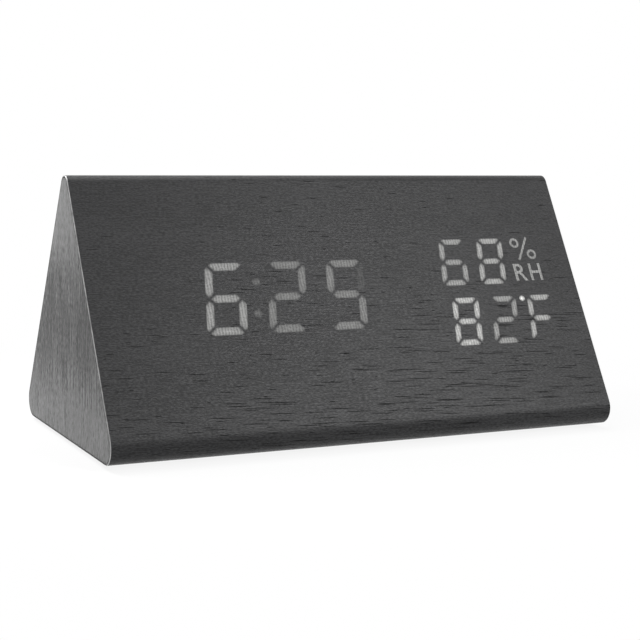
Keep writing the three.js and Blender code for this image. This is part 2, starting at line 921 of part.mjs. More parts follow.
function usbTongue() {
  const top = controlSeat + tongueBase;
  const base = slab(inletOutline(-inletWall - tongueGap), controlSeat, top);
  const blade = middleBox(
    inletAcross,
    panelUp,
    tongue.width,
    tongue.thickness,
    top - tongueBase / 2,
    top + tongue.length,
  );
  return join([base, blade]);
}

function controlBoard() {
  const plate = middleBox(
    0,
    panelUp,
    openingWidth - 2 * controlSideGap,
    openingHeight - 2 * controlSideGap,
    controlBack,
    controlFront,
  );
  const holes = [-1, 1].map((side) => peg(
    side * controlScrewAcross,
    panelUp,
    panScrew.shank + screwGap,
    controlBack - cutPast,
    controlFront + cutPast,
    screwSides,
  ));
  return cut(plate, holes);
}

function microphoneCapsule() {
  const { across, radius, height, rim } = microphone;
  const profile = [
    [0, 0],
    [radius, 0],
    [radius, height],
    [radius - rim, height],
    [radius - rim, height - rim],
    [0, height - rim],
  ];
  return turned(profile, roundSides).translate(across, panelUp, controlSeat);
}

function humiditySensor() {
  const { across, length, width, height } = sensor;
  const top = controlSeat + height;
  const body = middleBox(across, panelUp, length, width, controlSeat, top);
  const slots = [];
  for (let index = 0; index < sensorSlot.count; index += 1) {
    const x = across + (index - (sensorSlot.count - 1) / 2) * sensorSlot.pitch;
    const floor = top - sensorSlot.depth;
    slots.push(middleBox(x, panelUp, sensorSlot.width, width - sensorSlot.pitch, floor, top + cutPast));
  }
  return cut(body, slots);
}

function buzzerCan() {
  const { across, radius, height, hole, bore } = buzzer;
  const profile = [
    [0, -bore],
    [hole, -bore],
    [hole, -height],
    [radius - hole / 2, -height],
    [radius, -height + hole / 2],
    [radius, 0],
    [0, 0],
  ];
  return turned(profile, roundSides).translate(across, panelUp, controlBack - glueLine);
}

// Battery bay

function contactOutline(y, width, margin) {
  const half = width / 2 + margin;
  const low = bayMiddle - contact.height / 2 - margin;
  const high = bayMiddle + contact.height / 2 + margin;
  return { y0: y - half, y1: y + half, z0: low, z1: high };
}

function contactPockets() {
  const wall = bayLength / 2;
  const floor = wall + contact.thickness + contactPocket;
  const single = contact.width;
  const bridge = rowPitch + contact.width;
  const pockets = [];
  const places = [
    [-1, -rowPitch / 2, single],
    [-1, rowPitch / 2, single],
    [1, 0, bridge],
  ];
  for (const [side, y, width] of places) {
    const { y0, y1, z0, z1 } = contactOutline(y, width, fitGap);
    const near = side * (wall - cutPast);
    const far = side * floor;
    pockets.push(box(Math.min(near, far), Math.max(near, far), y0, y1, z0, z1));
  }
  for (const side of [-1, 1]) {
    const y = (side * rowPitch) / 2;
    const half = contactTab.width / 2 + fitGap;
    const z = bayMiddle + contactTab.rise;
    const thick = contactTab.thickness / 2 + fitGap;
    pockets.push(box(-wall - tubWall - cutPast, -wall, y - half, y + half, z - thick, z + thick));
  }
  return pockets;
}

function batteryTray() {
  const flange = slab(
    roundedRectangle(0, 0, flangeLength, flangeWidth, flangeRadius),
    trayRecess,
    flangeBack,
  );
  const collar = slab(roundedRectangle(0, 0, collarLength, collarWidth, tubRadius), trayRecess, collarTop);
  const tub = slab(
    roundedRectangle(0, 0, bayLength + 2 * tubWall, bayWidth + 2 * tubWall, tubRadius),
    bayFloor - doorLedge / 2,
    bayCeiling + tubWall,
  );
  const past = trayRecess - cutPast;
  const doorway = middleBox(0, 0, doorwayLength, doorwayWidth, past, bayFloor);
  const bay = middleBox(0, 0, bayLength, bayWidth, past, bayCeiling);
  const pinHole = new THREE.CylinderGeometry(
    hingePinRadius + hingeGap,
    hingePinRadius + hingeGap,
    doorwayLength + 2 * hingePinLength + 2 * hingeGap,
    screwSides,
  ).rotateZ(Math.PI / 2).translate(0, hingeY, hingeZ);
  const sinks = trayScrewPlaces().map(([x, y]) =>
    countersinkTool(flangeThickness).rotateX(Math.PI).translate(x, y, trayRecess + glueLine));
  const body = cut(join([flange, collar, tub]), [doorway, bay, pinHole, ...sinks, ...contactPockets()]);
  const ridge = polygon([
    [-spineWidth / 2, bayCeiling + tubWall / 2],
    [-spineWidth / 2, bayCeiling],
    [0, bayCeiling - spineHeight],
    [spineWidth / 2, bayCeiling],
    [spineWidth / 2, bayCeiling + tubWall / 2],
  ]);
  const spine = alongX(slab(ridge, -cellLength * cellsInLine / 2, cellLength * cellsInLine / 2));
  return join([body, spine]);
}

// The door is drawn shut; its rear edge is rounded about the hinge line
function batteryDoor() {
  const front = -doorwayWidth / 2 + fitGap;
  const halfLength = doorwayLength / 2 - fitGap;
  const profile = new THREE.Shape();
  profile.moveTo(front, doorBack);
  profile.lineTo(front, trayRecess);
  profile.absarc(hingeY, hingeZ, doorThickness / 2, -Math.PI / 2, Math.PI / 2);
  profile.closePath();
  const plate = alongX(slab(profile, -halfLength, halfLength));
  const pins = new THREE.CylinderGeometry(
    hingePinRadius,
    hingePinRadius,
    doorwayLength + 2 * hingePinLength,
    screwSides,
  ).rotateZ(Math.PI / 2).translate(0, hingeY, hingeZ);
  const tools = [-1, 1].map((side) => box(
    (side * tongueSlot.spacing) / 2 - tongueSlot.width / 2,
    (side * tongueSlot.spacing) / 2 + tongueSlot.width / 2,
    front - cutPast,
    front + tongueSlot.length,
    trayRecess - cutPast,
    doorBack + cutPast,
  ));
  for (let index = 0; index < gripGroove.count; index += 1) {
    const y = front + gripGroove.pitch * (index + 1);
    const floor = trayRecess + gripGroove.depth;
    tools.push(middleBox(0, y, gripGroove.length, gripGroove.width, trayRecess - cutPast, floor));
  }
  return cut(join([plate, pins]), tools);
}

function contactPlate(side, y, width) {
  const wall = (side * bayLength) / 2;
  const back = wall + side * contact.thickness;
  const { y0, y1, z0, z1 } = contactOutline(y, width, 0);
  return box(Math.min(wall, back), Math.max(wall, back), y0, y1, z0, z1);
}

function contactDimple(side, y) {
  const { base, top, height } = contactNub;
  const sunk = contact.thickness / 2;
  const dome = new THREE.CylinderGeometry(top, base, height + sunk, screwSides);
  const x = side * (bayLength / 2 - (height - sunk) / 2);
  return dome.rotateZ((side * Math.PI) / 2).translate(x, y, bayMiddle);
}

function contactStrip(y) {
  const inner = bayLength / 2 + contact.thickness / 2;
  const outer = bayLength / 2 + tubWall + contactTab.reach;
  const z = bayMiddle + contactTab.rise;
  const thick = contactTab.thickness / 2;
  return box(-outer, -inner, y - contactTab.width / 2, y + contactTab.width / 2, z - thick, z + thick);
}

// Coil wire: a straight foot square to its plate, then a cone of even turns
class CoilWire extends THREE.Curve {
  getPoint(at, target = new THREE.Vector3()) {
    const coil = springFree - springWire;
    const slope = Math.hypot(coil, springBase - springTip);
    const length = slope + Math.PI * springTurns * (springBase + springTip);
    const foot = springWire / length;
    if (at < foot) {
      return target.set(springBase, 0, (at / foot) * springWire);
    }
    const share = (at - foot) / (1 - foot);
    const radius = springBase + (springTip - springBase) * share;
    const angle = share * springTurns * 2 * Math.PI;
    return target.set(
      radius * Math.cos(angle),
      radius * Math.sin(angle),
      springWire + coil * share,
    );
  }
}

function leastTurnGap(curve) {
  const count = springTurns * gapSamplesPerTurn;
  const points = [];
  for (let index = 0; index <= count; index += 1) {
    points.push(curve.getPoint(index / count));
  }
  let least = Infinity;
  for (let i = 0; i < points.length; i += 1) {
    for (let j = i + gapSamplesPerTurn / 2; j < points.length; j += 1) {
      least = Math.min(least, points[i].distanceTo(points[j]) - springWire);
    }
  }
  return least;
}

function coilSpring() {
  const wire = new CoilWire();
  const section = polygon(Array.from({ length: springSides }, (_, index) => {
    const angle = (index / springSides) * 2 * Math.PI;
    return [Math.cos(angle) * springWire / 2, Math.sin(angle) * springWire / 2];
  }));
  const options = { steps: springTurns * springStepsPerTurn + 2, bevelEnabled: false, extrudePath: wire };
  console.log(`coil spring, least gap between turns: ${leastTurnGap(wire).toFixed(2)} mm`);
  return new THREE.ExtrudeGeometry(section, options);
}

// A lead starts straight off the contact's tab and ends square on the back of the control board
function lead(side, lay, pad) {
  const tabEnd = -bayLength / 2 - tubWall - contactTab.reach - fitGap;
  const tabRise = bayMiddle + contactTab.rise;
  const starts = [tabEnd, tabEnd - leadRun].map((x) =>
    new THREE.Vector3(x, (side * rowPitch) / 2, tabRise));
  const padOut = controlBack - fitGap;
  const ends = [padOut - leadRun, padOut].map((out) =>
    new THREE.Vector3(pad.across, panelUp + pad.rise, out).applyMatrix4(rearFrame));
  const middle = lay.map((point) => new THREE.Vector3(...point));
  const path = new THREE.CatmullRomCurve3([...starts, ...middle, ...ends]);
  const section = polygon(Array.from({ length: leadSides }, (_, index) => {
    const angle = (index / leadSides) * 2 * Math.PI;
    return [Math.cos(angle) * leadDiameter / 2, Math.sin(angle) * leadDiameter / 2];
  }));
  return new THREE.ExtrudeGeometry(section, { steps: leadSteps, bevelEnabled: false, extrudePath: path });
}

// Finishes

function finish(color, roughness, metalness) {
  return { color, roughness, metalness };
}

const blackFilm = finish(0x3e3e40, 0.45, 0);
const endFacing = finish(0x6c6c6c, 0.5, 0);
const fibreboard = finish(0x9c7a52, 0.9, 0);
const softPad = finish(0x1c1c1c, 0.9, 0);
const whiteMoulding = finish(0xf2f2ee, 0.5, 0);
const circuit = finish(0x1f6b3a, 0.4, 0);
const blackMoulding = finish(0x222224, 0.5, 0);
const blackEpoxy = finish(0x18181a, 0.6, 0);
const brightMetal = finish(0xc9cbcc, 0.3, 1);
const zincScrew = finish(0x8c8d8f, 0.4, 1);
const greyRibbon = finish(0xa9abad, 0.6, 0);
const redSleeve = finish(0xa32020, 0.5, 0);
const blackSleeve = finish(0x202020, 0.5, 0);

function piece(name, geometry, look) {
  const mesh = new THREE.Mesh(geometry, new THREE.MeshStandardMaterial({ ...look, flatShading: true }));
  mesh.name = name;
  return mesh;
}

// Assembly

const casework = new THREE.Group();
casework.add(
  piece('front_board', frontBoard(), fibreboard),
  piece('rear_board', rearBoard(), fibreboard),
  piece('base_board', baseBoard(), fibreboard),
  piece('film_wrap', filmWrap(), blackFilm),
  piece('left_end_panel', endPanel(-1), fibreboard),
  piece('right_end_panel', endPanel(1), fibreboard),
  piece('left_end_veneer', endVeneer(-1), endFacing),
  piece('right_end_veneer', endVeneer(1), endFacing),
);
for (const [depthName, back] of [['front', -1], ['rear', 1]]) {
  for (const [sideName, right] of [['left', -1], ['right', 1]]) {
    const x = right * (caseLength / 2 - padFromEnd);
    const y = back * (baseWidth / 2 - padFromCorner);
    casework.add(piece(`foot_pad_${depthName}_${sideName}`, footPad(x, y), softPad));
  }
}

const readout = new THREE.Group();
readout.applyMatrix4(frontFrame);
readout.add(
  piece('display_diffuser', displayDiffuser(), whiteMoulding),
  piece('display_reflector', displayReflector(), whiteMoulding),
  piece('display_board', displayBoard(), circuit),
  piece(
    'display_driver_chip',
    chip(displayChip, displayChip.across, displayChip.up, displayBack),
    blackEpoxy,
  ),
  piece('display_socket', ribbonSocket(ribbonAcross, displaySocketUp, displayBack), whiteMoulding),
);
displayScrewPlaces().forEach(([across, up], index) => {
  const length = displayScrewBite + circuitThickness + glueLine;
  const screw = piece(`display_screw_${index + 1}`, panHeadScrew(length), zincScrew);
  screw.position.set(across, up, displayBack - glueLine);
  readout.add(screw);
});

const controls = new THREE.Group();
controls.applyMatrix4(rearFrame);
controls.add(
  piece('rear_panel', rearPanel(), blackMoulding),
  piece('control_board', controlBoard(), circuit),
  piece('controller_chip', chip(controllerChip, controllerChip.across, panelUp, controlBack), blackEpoxy),
  piece('control_socket', ribbonSocket(-ribbonAcross, panelUp, controlBack), whiteMoulding),
  piece('usb_shell', usbShell(), brightMetal),
  piece('usb_tongue', usbTongue(), blackEpoxy),
  piece('microphone', microphoneCapsule(), brightMetal),
  piece('humidity_sensor', humiditySensor(), whiteMoulding),
  piece('buzzer', buzzerCan(), blackEpoxy),
);
buttonNames.forEach((name, index) => {
  controls.add(
    piece(`${name}_button`, button(index), blackMoulding),
    piece(`${name}_plunger`, plunger(index), blackEpoxy),
    piece(`${name}_switch`, pushSwitch(index), blackEpoxy),
  );
});
panelScrewPlaces().forEach(([across, up], index) => {
  const screw = piece(`panel_screw_${index + 1}`, countersunkScrew(), zincScrew);
  screw.position.set(across, up, panelFace - glueLine);
  controls.add(screw);
});
[-1, 1].forEach((side, index) => {
  const length = controlScrewBite + circuitThickness + glueLine;
  const screw = piece(`control_screw_${index + 1}`, panHeadScrew(length), zincScrew);
  screw.position.set(side * controlScrewAcross, panelUp, controlBack - glueLine);
  controls.add(screw);
});

const power = new THREE.Group();
power.add(
  piece('ribbon_cable', ribbonCable(), greyRibbon),
  piece('battery_tray', batteryTray(), blackMoulding),
  piece('battery_door', batteryDoor(), blackMoulding),
  piece(
    'negative_contact',
    join([contactPlate(-1, -rowPitch / 2, contact.width), contactStrip(-rowPitch / 2)]),
    brightMetal,
  ),
  piece(
    'positive_contact',
    join([
      contactPlate(-1, rowPitch / 2, contact.width),
      contactDimple(-1, rowPitch / 2),
      contactStrip(rowPitch / 2),
    ]),
    brightMetal,
  ),
  piece(
    'bridge_contact',
    join([contactPlate(1, 0, rowPitch + contact.width), contactDimple(1, -rowPitch / 2)]),
    brightMetal,
  ),
  piece('positive_lead', lead(1, positiveLay, positivePad), redSleeve),
  piece('negative_lead', lead(-1, negativeLay, negativePad), blackSleeve),
);
for (const [name, side] of [['negative_spring', -1], ['bridge_spring', 1]]) {
  const spring = piece(name, coilSpring(), brightMetal);
  spring.position.set(side * (bayLength / 2 - glueLine), (side * rowPitch) / 2, bayMiddle);
  spring.rotation.y = (-side * Math.PI) / 2;
  power.add(spring);
}
trayScrewPlaces().forEach(([x, y], index) => {
  const screw = piece(`tray_screw_${index + 1}`, countersunkScrew(), zincScrew);
  screw.position.set(x, y, trayRecess + glueLine);
  screw.rotation.x = Math.PI;
  power.add(screw);
});

const clock = new THREE.Group();
clock.add(casework, readout, controls, power);
clock.position.z = padHeight + glueLine;

const root = new THREE.Group();
root.add(clock);

export default root;
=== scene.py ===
# %% [markdown]
# # A desk clock in black wood grain
#
# The clock is a lying triangular prism of fibreboard, wrapped once in black wood-grain film. Its
# readout shines through the front film, its keys sit on the rear slope and its battery bay opens in
# the base. The CAD frame gives every piece its place, so this lesson only dresses it.

import json
import math

import bmesh
import bpy
from mathutils import Matrix, Vector
from mathutils.geometry import intersect_point_line


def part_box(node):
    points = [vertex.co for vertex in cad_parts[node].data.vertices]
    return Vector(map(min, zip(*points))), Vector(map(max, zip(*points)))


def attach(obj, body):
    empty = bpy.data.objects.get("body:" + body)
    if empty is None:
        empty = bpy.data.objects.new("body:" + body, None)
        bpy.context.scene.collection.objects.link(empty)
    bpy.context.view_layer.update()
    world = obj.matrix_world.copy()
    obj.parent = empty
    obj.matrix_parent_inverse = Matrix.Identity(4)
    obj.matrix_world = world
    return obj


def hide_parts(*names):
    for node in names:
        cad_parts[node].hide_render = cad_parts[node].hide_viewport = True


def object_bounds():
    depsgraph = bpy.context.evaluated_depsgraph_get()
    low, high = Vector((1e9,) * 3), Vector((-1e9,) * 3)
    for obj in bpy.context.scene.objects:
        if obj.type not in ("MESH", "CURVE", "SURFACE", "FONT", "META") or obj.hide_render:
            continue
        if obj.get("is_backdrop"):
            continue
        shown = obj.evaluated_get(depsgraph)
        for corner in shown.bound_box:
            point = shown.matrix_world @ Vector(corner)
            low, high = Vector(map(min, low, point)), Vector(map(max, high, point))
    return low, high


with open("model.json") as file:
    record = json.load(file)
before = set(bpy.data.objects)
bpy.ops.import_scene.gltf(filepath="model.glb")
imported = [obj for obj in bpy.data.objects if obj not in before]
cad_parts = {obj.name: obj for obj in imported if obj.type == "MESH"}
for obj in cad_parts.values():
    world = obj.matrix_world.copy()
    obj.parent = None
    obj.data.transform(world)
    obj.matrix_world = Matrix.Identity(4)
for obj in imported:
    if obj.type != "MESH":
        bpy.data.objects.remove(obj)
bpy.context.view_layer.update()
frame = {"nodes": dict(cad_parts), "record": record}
MM = 0.001
print("nodes:", len(frame["nodes"]))

# %% [markdown]
# ## Camera
#
# The photograph was taken with a longish lens from the front left, a little above the clock. The
# place, the turn and the lens were worked out from the clock's outline, with no shift, so one
# camera object with plain angles is all that is needed.

# %% Camera
CAMERA_PLACE = Vector((-182.221, -379.489, 83.399)) * MM
CAMERA_AZIMUTH = math.radians(-25.689)
CAMERA_ELEVATION = math.radians(7.196)
CAMERA_ROLL = math.radians(0.790)
LENS, SENSOR, NEAREST = 82.702, 36.0, 10 * MM

camera = bpy.data.objects.new("camera", bpy.data.cameras.new("camera"))
camera.data.lens = LENS
camera.data.sensor_width = SENSOR
camera.data.clip_start = NEAREST
camera.matrix_world = (
    Matrix.Translation(CAMERA_PLACE)
    @ Matrix.Rotation(CAMERA_AZIMUTH, 4, "Z")
    @ Matrix.Rotation(math.pi / 2 - CAMERA_ELEVATION, 4, "X")
    @ Matrix.Rotation(CAMERA_ROLL, 4, "Z")
)
bpy.context.scene.collection.objects.link(camera)
bpy.context.scene.camera = camera
bpy.context.scene.view_settings.view_transform = "Standard"
print("camera at", [round(part, 3) for part in camera.location], "lens", LENS)

# %% [markdown]
# ## Colours and nodes
#
# A colour picked on a screen is an sRGB value, but shaders add light in linear values, so one
# function turns a hex colour into the linear one. A second one adds a shader node with its settings
# and links, which keeps every material readable from top to bottom.

# %% Colour and node helpers
def linear(hex_colour):
    """The linear RGBA value of an sRGB hex colour such as #3a3a3c."""
    parts = [int(hex_colour[at:at + 2], 16) / 255 for at in (1, 3, 5)]
    bent = [part / 12.92 if part <= 0.04045 else ((part + 0.055) / 1.055) ** 2.4 for part in parts]
    return (*bent, 1.0)


def feed(tree, node, inputs):
    """Sets a node's inputs to plain values, or links them to sockets or to a node's first output."""
    for name, value in inputs.items():
        if isinstance(value, bpy.types.Node):
            value = value.outputs[0]
        if isinstance(value, bpy.types.NodeSocket):
            tree.links.new(value, node.inputs[name])
        else:
            node.inputs[name].default_value = value


def add(tree, kind, inputs=None, **settings):
    """Adds one shader node, such as TexNoise, with its settings, and feeds its inputs."""
    node = tree.nodes.new("ShaderNode" + kind)
    for name, value in settings.items():
        setattr(node, name, value)
    feed(tree, node, inputs or {})
    return node


print("#808080 is", round(linear("#808080")[0], 3), "in linear light")

# %% [markdown]
# ## Studio
#
# Product shots like this one stand on a white sweep under broad soft lights. The floor and the world
# look white to the camera and to reflections, through the Light Path node, while the light that
# falls on the clock stays at a plain level. The floor mixes in its own shading, so a soft shadow
# stays under the clock, and it goes over to clean white further out, where the photograph is cut out.

# %% Floor and world
WHITE = linear("#ffffff")
WORLD_LEVEL = 0.15
FLOOR_WHITE_SHARE = 0.88
FLOOR_HALF = 0.2
WHITE_FROM, WHITE_WHOLLY = 0.09, 0.19


def background_share(tree, share):
    """A factor that is share for rays from the camera, 1 for those from a gloss or a clear piece, or 0."""
    path = add(tree, "LightPath")
    seen = add(tree, "Math", {
        0: path.outputs["Is Camera Ray"], 1: share, 2: path.outputs["Is Glossy Ray"]},
        operation="MULTIPLY_ADD")
    return add(tree, "Math", {0: seen, 1: path.outputs["Is Transmission Ray"]}, use_clamp=True)


world = bpy.data.worlds.new("white sweep")
world.use_nodes = True
bpy.context.scene.world = world
sky = world.node_tree
sky.nodes.clear()
sky_plain = add(sky, "Background", {"Color": WHITE, "Strength": WORLD_LEVEL})
sky_white = add(sky, "Background", {"Color": WHITE, "Strength": 1.0})
sky_mix = add(sky, "MixShader", {0: background_share(sky, 1.0), 1: sky_plain, 2: sky_white})
add(sky, "OutputWorld", {"Surface": sky_mix})

floor_finish = bpy.data.materials.new("white paper sweep")
floor_finish.use_nodes = True
paper = floor_finish.node_tree
paper.nodes.clear()
paper_shade = add(paper, "BsdfDiffuse", {"Color": linear("#f4f4f4")})
paper_white = add(paper, "Emission", {"Color": WHITE, "Strength": 1.0})
paper_place = add(paper, "TexCoord").outputs["Object"]
paper_reach = add(paper, "VectorMath", {0: paper_place}, operation="LENGTH").outputs["Value"]
paper_share = add(paper, "MapRange", {
    0: paper_reach, 1: WHITE_FROM, 2: WHITE_WHOLLY, 3: FLOOR_WHITE_SHARE, 4: 1.0})
paper_mix = add(paper, "MixShader", {
    0: background_share(paper, paper_share), 1: paper_shade, 2: paper_white})
add(paper, "OutputMaterial", {"Surface": paper_mix})

sweep = bmesh.new()
bmesh.ops.create_grid(sweep, x_segments=1, y_segments=1, size=FLOOR_HALF)
floor_mesh = bpy.data.meshes.new("floor")
sweep.to_mesh(floor_mesh)
sweep.free()
floor_mesh.materials.append(floor_finish)
floor = bpy.data.objects.new("floor", floor_mesh)
bpy.context.scene.collection.objects.link(floor)
floor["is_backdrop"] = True
print("floor", 2 * FLOOR_HALF, "m wide, world level", WORLD_LEVEL)

# %% Lamps
LAMPS = {  # name: (place, size, watts)
    # from the front right, for the even grey of the front
    "key softbox": (Vector((0.33, -0.48, 0.40)), (0.24, 0.50), 3.0),
    # small and close to the left end, for the fall of tone over it
    "left softbox": (Vector((-0.12, 0.07, 0.15)), (0.08, 0.08), 0.26),
    # high above, for the top edge and a soft shadow
    "top softbox": (Vector((0.00, 0.15, 1.00)), (0.80, 0.80), 5.5),
}
AIM = Vector((0.0, 0.0, 0.035))

for name, (place, size, watts) in LAMPS.items():
    data = bpy.data.lights.new(name, "AREA")
    data.shape = "RECTANGLE"
    data.size, data.size_y = size
    data.energy = watts
    light = bpy.data.objects.new(name, data)
    turn = (AIM - place).to_track_quat("-Z", "Y").to_matrix().to_4x4()
    light.matrix_world = Matrix.Translation(place) @ turn
    bpy.context.scene.collection.objects.link(light)
print("lamps:", ", ".join(LAMPS))

# %% [markdown]
# ## Plain finishes
#
# Most materials on the clock are plain: two close tones that drift over a real distance, and a fine
# relief. Spark-eroded moulds leave a matt skin on black plastic, plating leaves faint drawn lines,
# foam has small open cells and fibreboard is a felt of short wood fibres. One function makes them
# all, because they differ only in these values. Grit and cells under 0.2 mm would not show in a
# picture of the whole clock, so they are drawn about twice as coarse as they are.

# %% Helpers for finishes
DRIFT_LOW, DRIFT_HIGH = 0.3, 0.7
WEAR = 0.1
BUMP_STRENGTH = 0.5


def new_finish(name):
    """An empty material with one Principled shader: returns the material, its tree and the shader."""
    material = bpy.data.materials.new(name)
    material.use_nodes = True
    tree = material.node_tree
    return material, tree, tree.nodes["Principled BSDF"]


def drifting(name, dark, light, grit, rough, stretch=(1, 1, 1), metal=0.0, relief=0.0):
    """A finish of two close tones that drift over grit mm, stretched along X, Y and Z; relief in mm."""
    material, tree, skin = new_finish(name)
    place = add(tree, "TexCoord").outputs["Object"]
    spread = add(tree, "Mapping", {
        "Vector": place, "Scale": [grit * MM * side for side in stretch]}, vector_type="TEXTURE")
    drift = add(tree, "TexNoise", {"Vector": spread, "Scale": 1.0, "Detail": 3.0})
    share = add(tree, "MapRange", {0: drift, 1: DRIFT_LOW, 2: DRIFT_HIGH})
    tone = add(tree, "Mix", {0: share, 6: linear(dark), 7: linear(light)}, data_type="RGBA")
    worn = add(tree, "MapRange", {
        0: drift, 1: DRIFT_LOW, 2: DRIFT_HIGH, 3: rough * (1 - WEAR), 4: rough * (1 + WEAR)})
    feed(tree, skin, {"Base Color": tone.outputs[2], "Roughness": worn, "Metallic": metal})
    if relief:
        feed(tree, skin, {"Normal": add(tree, "Bump", {
            "Height": drift, "Strength": BUMP_STRENGTH, "Distance": relief * MM})})
    return material


print("a finish's roughness wears by", WEAR, "of itself")

# %% Plain finishes
FINISHES = {
    # pressed wood fibre, bare: a dull warm brown with a felt of short fibres
    "fibreboard": drifting("fibreboard, sawn", "#866a48", "#a88b63", 0.8, 0.85, (1.5, 1, 1), relief=0.05),
    # closed-cell rubber, cut: a sooty black that gives hardly any light back
    "pad_foam": drifting("foam rubber, die-cut", "#121212", "#262626", 0.25, 0.9, relief=0.04),
    # a milky sheet: even white with a soft gloss
    "diffuser_sheet": drifting("polycarbonate, matt rolled", "#e6e6e3", "#f0f0ee", 6.0, 0.4),
    # white plastic filled with chalk, to throw light back: flat and clean
    "white_moulding": drifting("white ABS, moulded", "#e4e3de", "#eeede9", 0.3, 0.45, relief=0.01),
    # lacquer over glass cloth: deep green, glossy, with the cloth just showing
    "circuit_laminate": drifting("epoxy laminate, lacquered", "#123f24", "#1d5a35", 0.8, 0.35, relief=0.01),
    # plastic from a spark-eroded mould: soft black with a fine, dry grit
    "black_moulding": drifting("black ABS, spark-textured", "#18181a", "#2b2b2d", 0.35, 0.5, relief=0.05),
    # potting resin: darker and smoother than the plastic
    "black_epoxy": drifting("black epoxy, cast", "#141415", "#1e1e20", 0.5, 0.55, relief=0.01),
    # thin sheet and wire, bright plated: warm silver with drawn lines
    "nickel_plate": drifting(
        "steel, nickel-plated", "#c3bfb4", "#d2cfc6", 0.2, 0.28, (1, 15, 1), metal=1.0),
    # screws tumbled in a blackening bath: dark, oily metal
    "zinc_screw": drifting("steel, blackened zinc", "#4c4c4e", "#68686a", 0.4, 0.38, metal=1.0),
    # flat lead: grey with a faint line between its cores
    "grey_ribbon": drifting("grey PVC ribbon, extruded", "#8d8e90", "#b0b1b3", 0.7, 0.5, (1, 30, 30)),
    # wire sleeves: plain colour, smooth, a little waxy
    "red_sleeve": drifting("red PVC, extruded", "#9c1f1c", "#b42a25", 3.0, 0.4),
    "black_sleeve": drifting("black PVC, extruded", "#161616", "#222222", 3.0, 0.4),
}
# the sound pickup's mouth is covered, so that no metal glints through the pinhole: black and fuzzy
felt = drifting("black felt, pressed", "#0d0d0d", "#1c1c1c", 0.3, 0.95, relief=0.05)
slots = {part["node"]: part["material_slot"] for part in frame["record"]["subparts"]}
for name, node in frame["nodes"].items():
    if slots[name] in FINISHES:
        node.data.materials.clear()
        node.data.materials.append(felt if name == "microphone" else FINISHES[slots[name]])
print("plain finishes:", len(FINISHES))

# %% [markdown]
# ## Black wood-grain film
#
# The film is printed and embossed vinyl: charcoal black and half matt, with fine fibres along the
# clock and thin open pores that catch no light. It could be a picture of wood wrapped round the
# clock, but noise drawn on the sheet's own grain map stays sharp and runs on unbroken round the
# corners. A Mapping node of the Texture type lays each pattern on that map in its real length and
# width. The fibres sway a little, and the print leans to the clock's edges, as film laid by hand does.

# %% Grain of the film
GRAIN_MAP = "grain"
SWAY_LENGTH, SWAY_WIDTH, SWAY = 30.0, 9.0, 0.6
SHADE_LOW, SHADE_HIGH = 0.38, 0.62
PATCH_LOW, PATCH_HIGH, PATCH_DEPTH = 0.35, 0.65, 0.12


def lay_patterns(tree, sizes, lean):
    """Each pattern's place on the grain map: sizes {pattern: (length, width, ...)} in mm."""
    sheet = add(tree, "UVMap", uv_map=GRAIN_MAP).outputs[0]
    slow = add(tree, "Mapping", {
        "Vector": sheet, "Scale": (SWAY_LENGTH * MM, SWAY_WIDTH * MM, 1)}, vector_type="TEXTURE")
    drift = add(tree, "TexNoise", {"Vector": slow, "Scale": 1.0, "Detail": 1.0})
    swayed = add(tree, "VectorMath", {
        0: drift.outputs["Color"], 1: (0, SWAY * MM, 0), 2: sheet}, operation="MULTIPLY_ADD")
    laid = {}
    for pattern, size in sizes.items():
        laid[pattern] = add(tree, "Mapping", {
            "Vector": swayed, "Rotation": (0, 0, lean), "Scale": (size[0] * MM, size[1] * MM, 1)},
            vector_type="TEXTURE").outputs[0]
    return laid


def fibre_shade(tree, laid, grain, speck_share):
    """Two values: the light and dark of fibres and speck, and a slow drift of tone about 0."""
    noise = {}
    for pattern, (_, _, detail) in grain.items():
        noise[pattern] = add(tree, "TexNoise", {
            "Vector": laid[pattern], "Scale": 1.0, "Detail": detail}, noise_dimensions="2D")
    weave = add(tree, "Mix", {0: speck_share, 2: noise["fibre"], 3: noise["speck"]})
    shade = add(tree, "MapRange", {0: weave, 1: SHADE_LOW, 2: SHADE_HIGH})
    slow = add(tree, "MapRange", {
        0: noise["patch"], 1: PATCH_LOW, 2: PATCH_HIGH, 3: -PATCH_DEPTH, 4: PATCH_DEPTH})
    return shade, slow


print("fibres sway", SWAY, "mm over", SWAY_LENGTH, "mm")

# %% [markdown]
# Pores in veneer are separate thin dashes of many lengths. A threshold on stretched noise would give
# blots that swell and join, so stretched Voronoi cells are used: each holds one pore at most, about
# its own point, of one width, and as long as the cell's random value says. The blue part of the cell
# colour is that value, because red and green say where the point lies. The printed sheet is richer
# in pores towards its lower right, so a slow fall over the clock's own coordinates thins them out.

# %% Pores of the film
PORE_REACH, PORE_LEAST, PORE_GIRTH, PORE_EDGE = 0.42, 0.001, 0.27, 0.6
PORES_FALL = (-0.18, 0.0, 1.0)
PORES_FROM, PORES_TO = 5.0, 55.0
PORES_MORE, PORES_FEWER, PORES_PATCH = 0.05, -0.15, 0.4


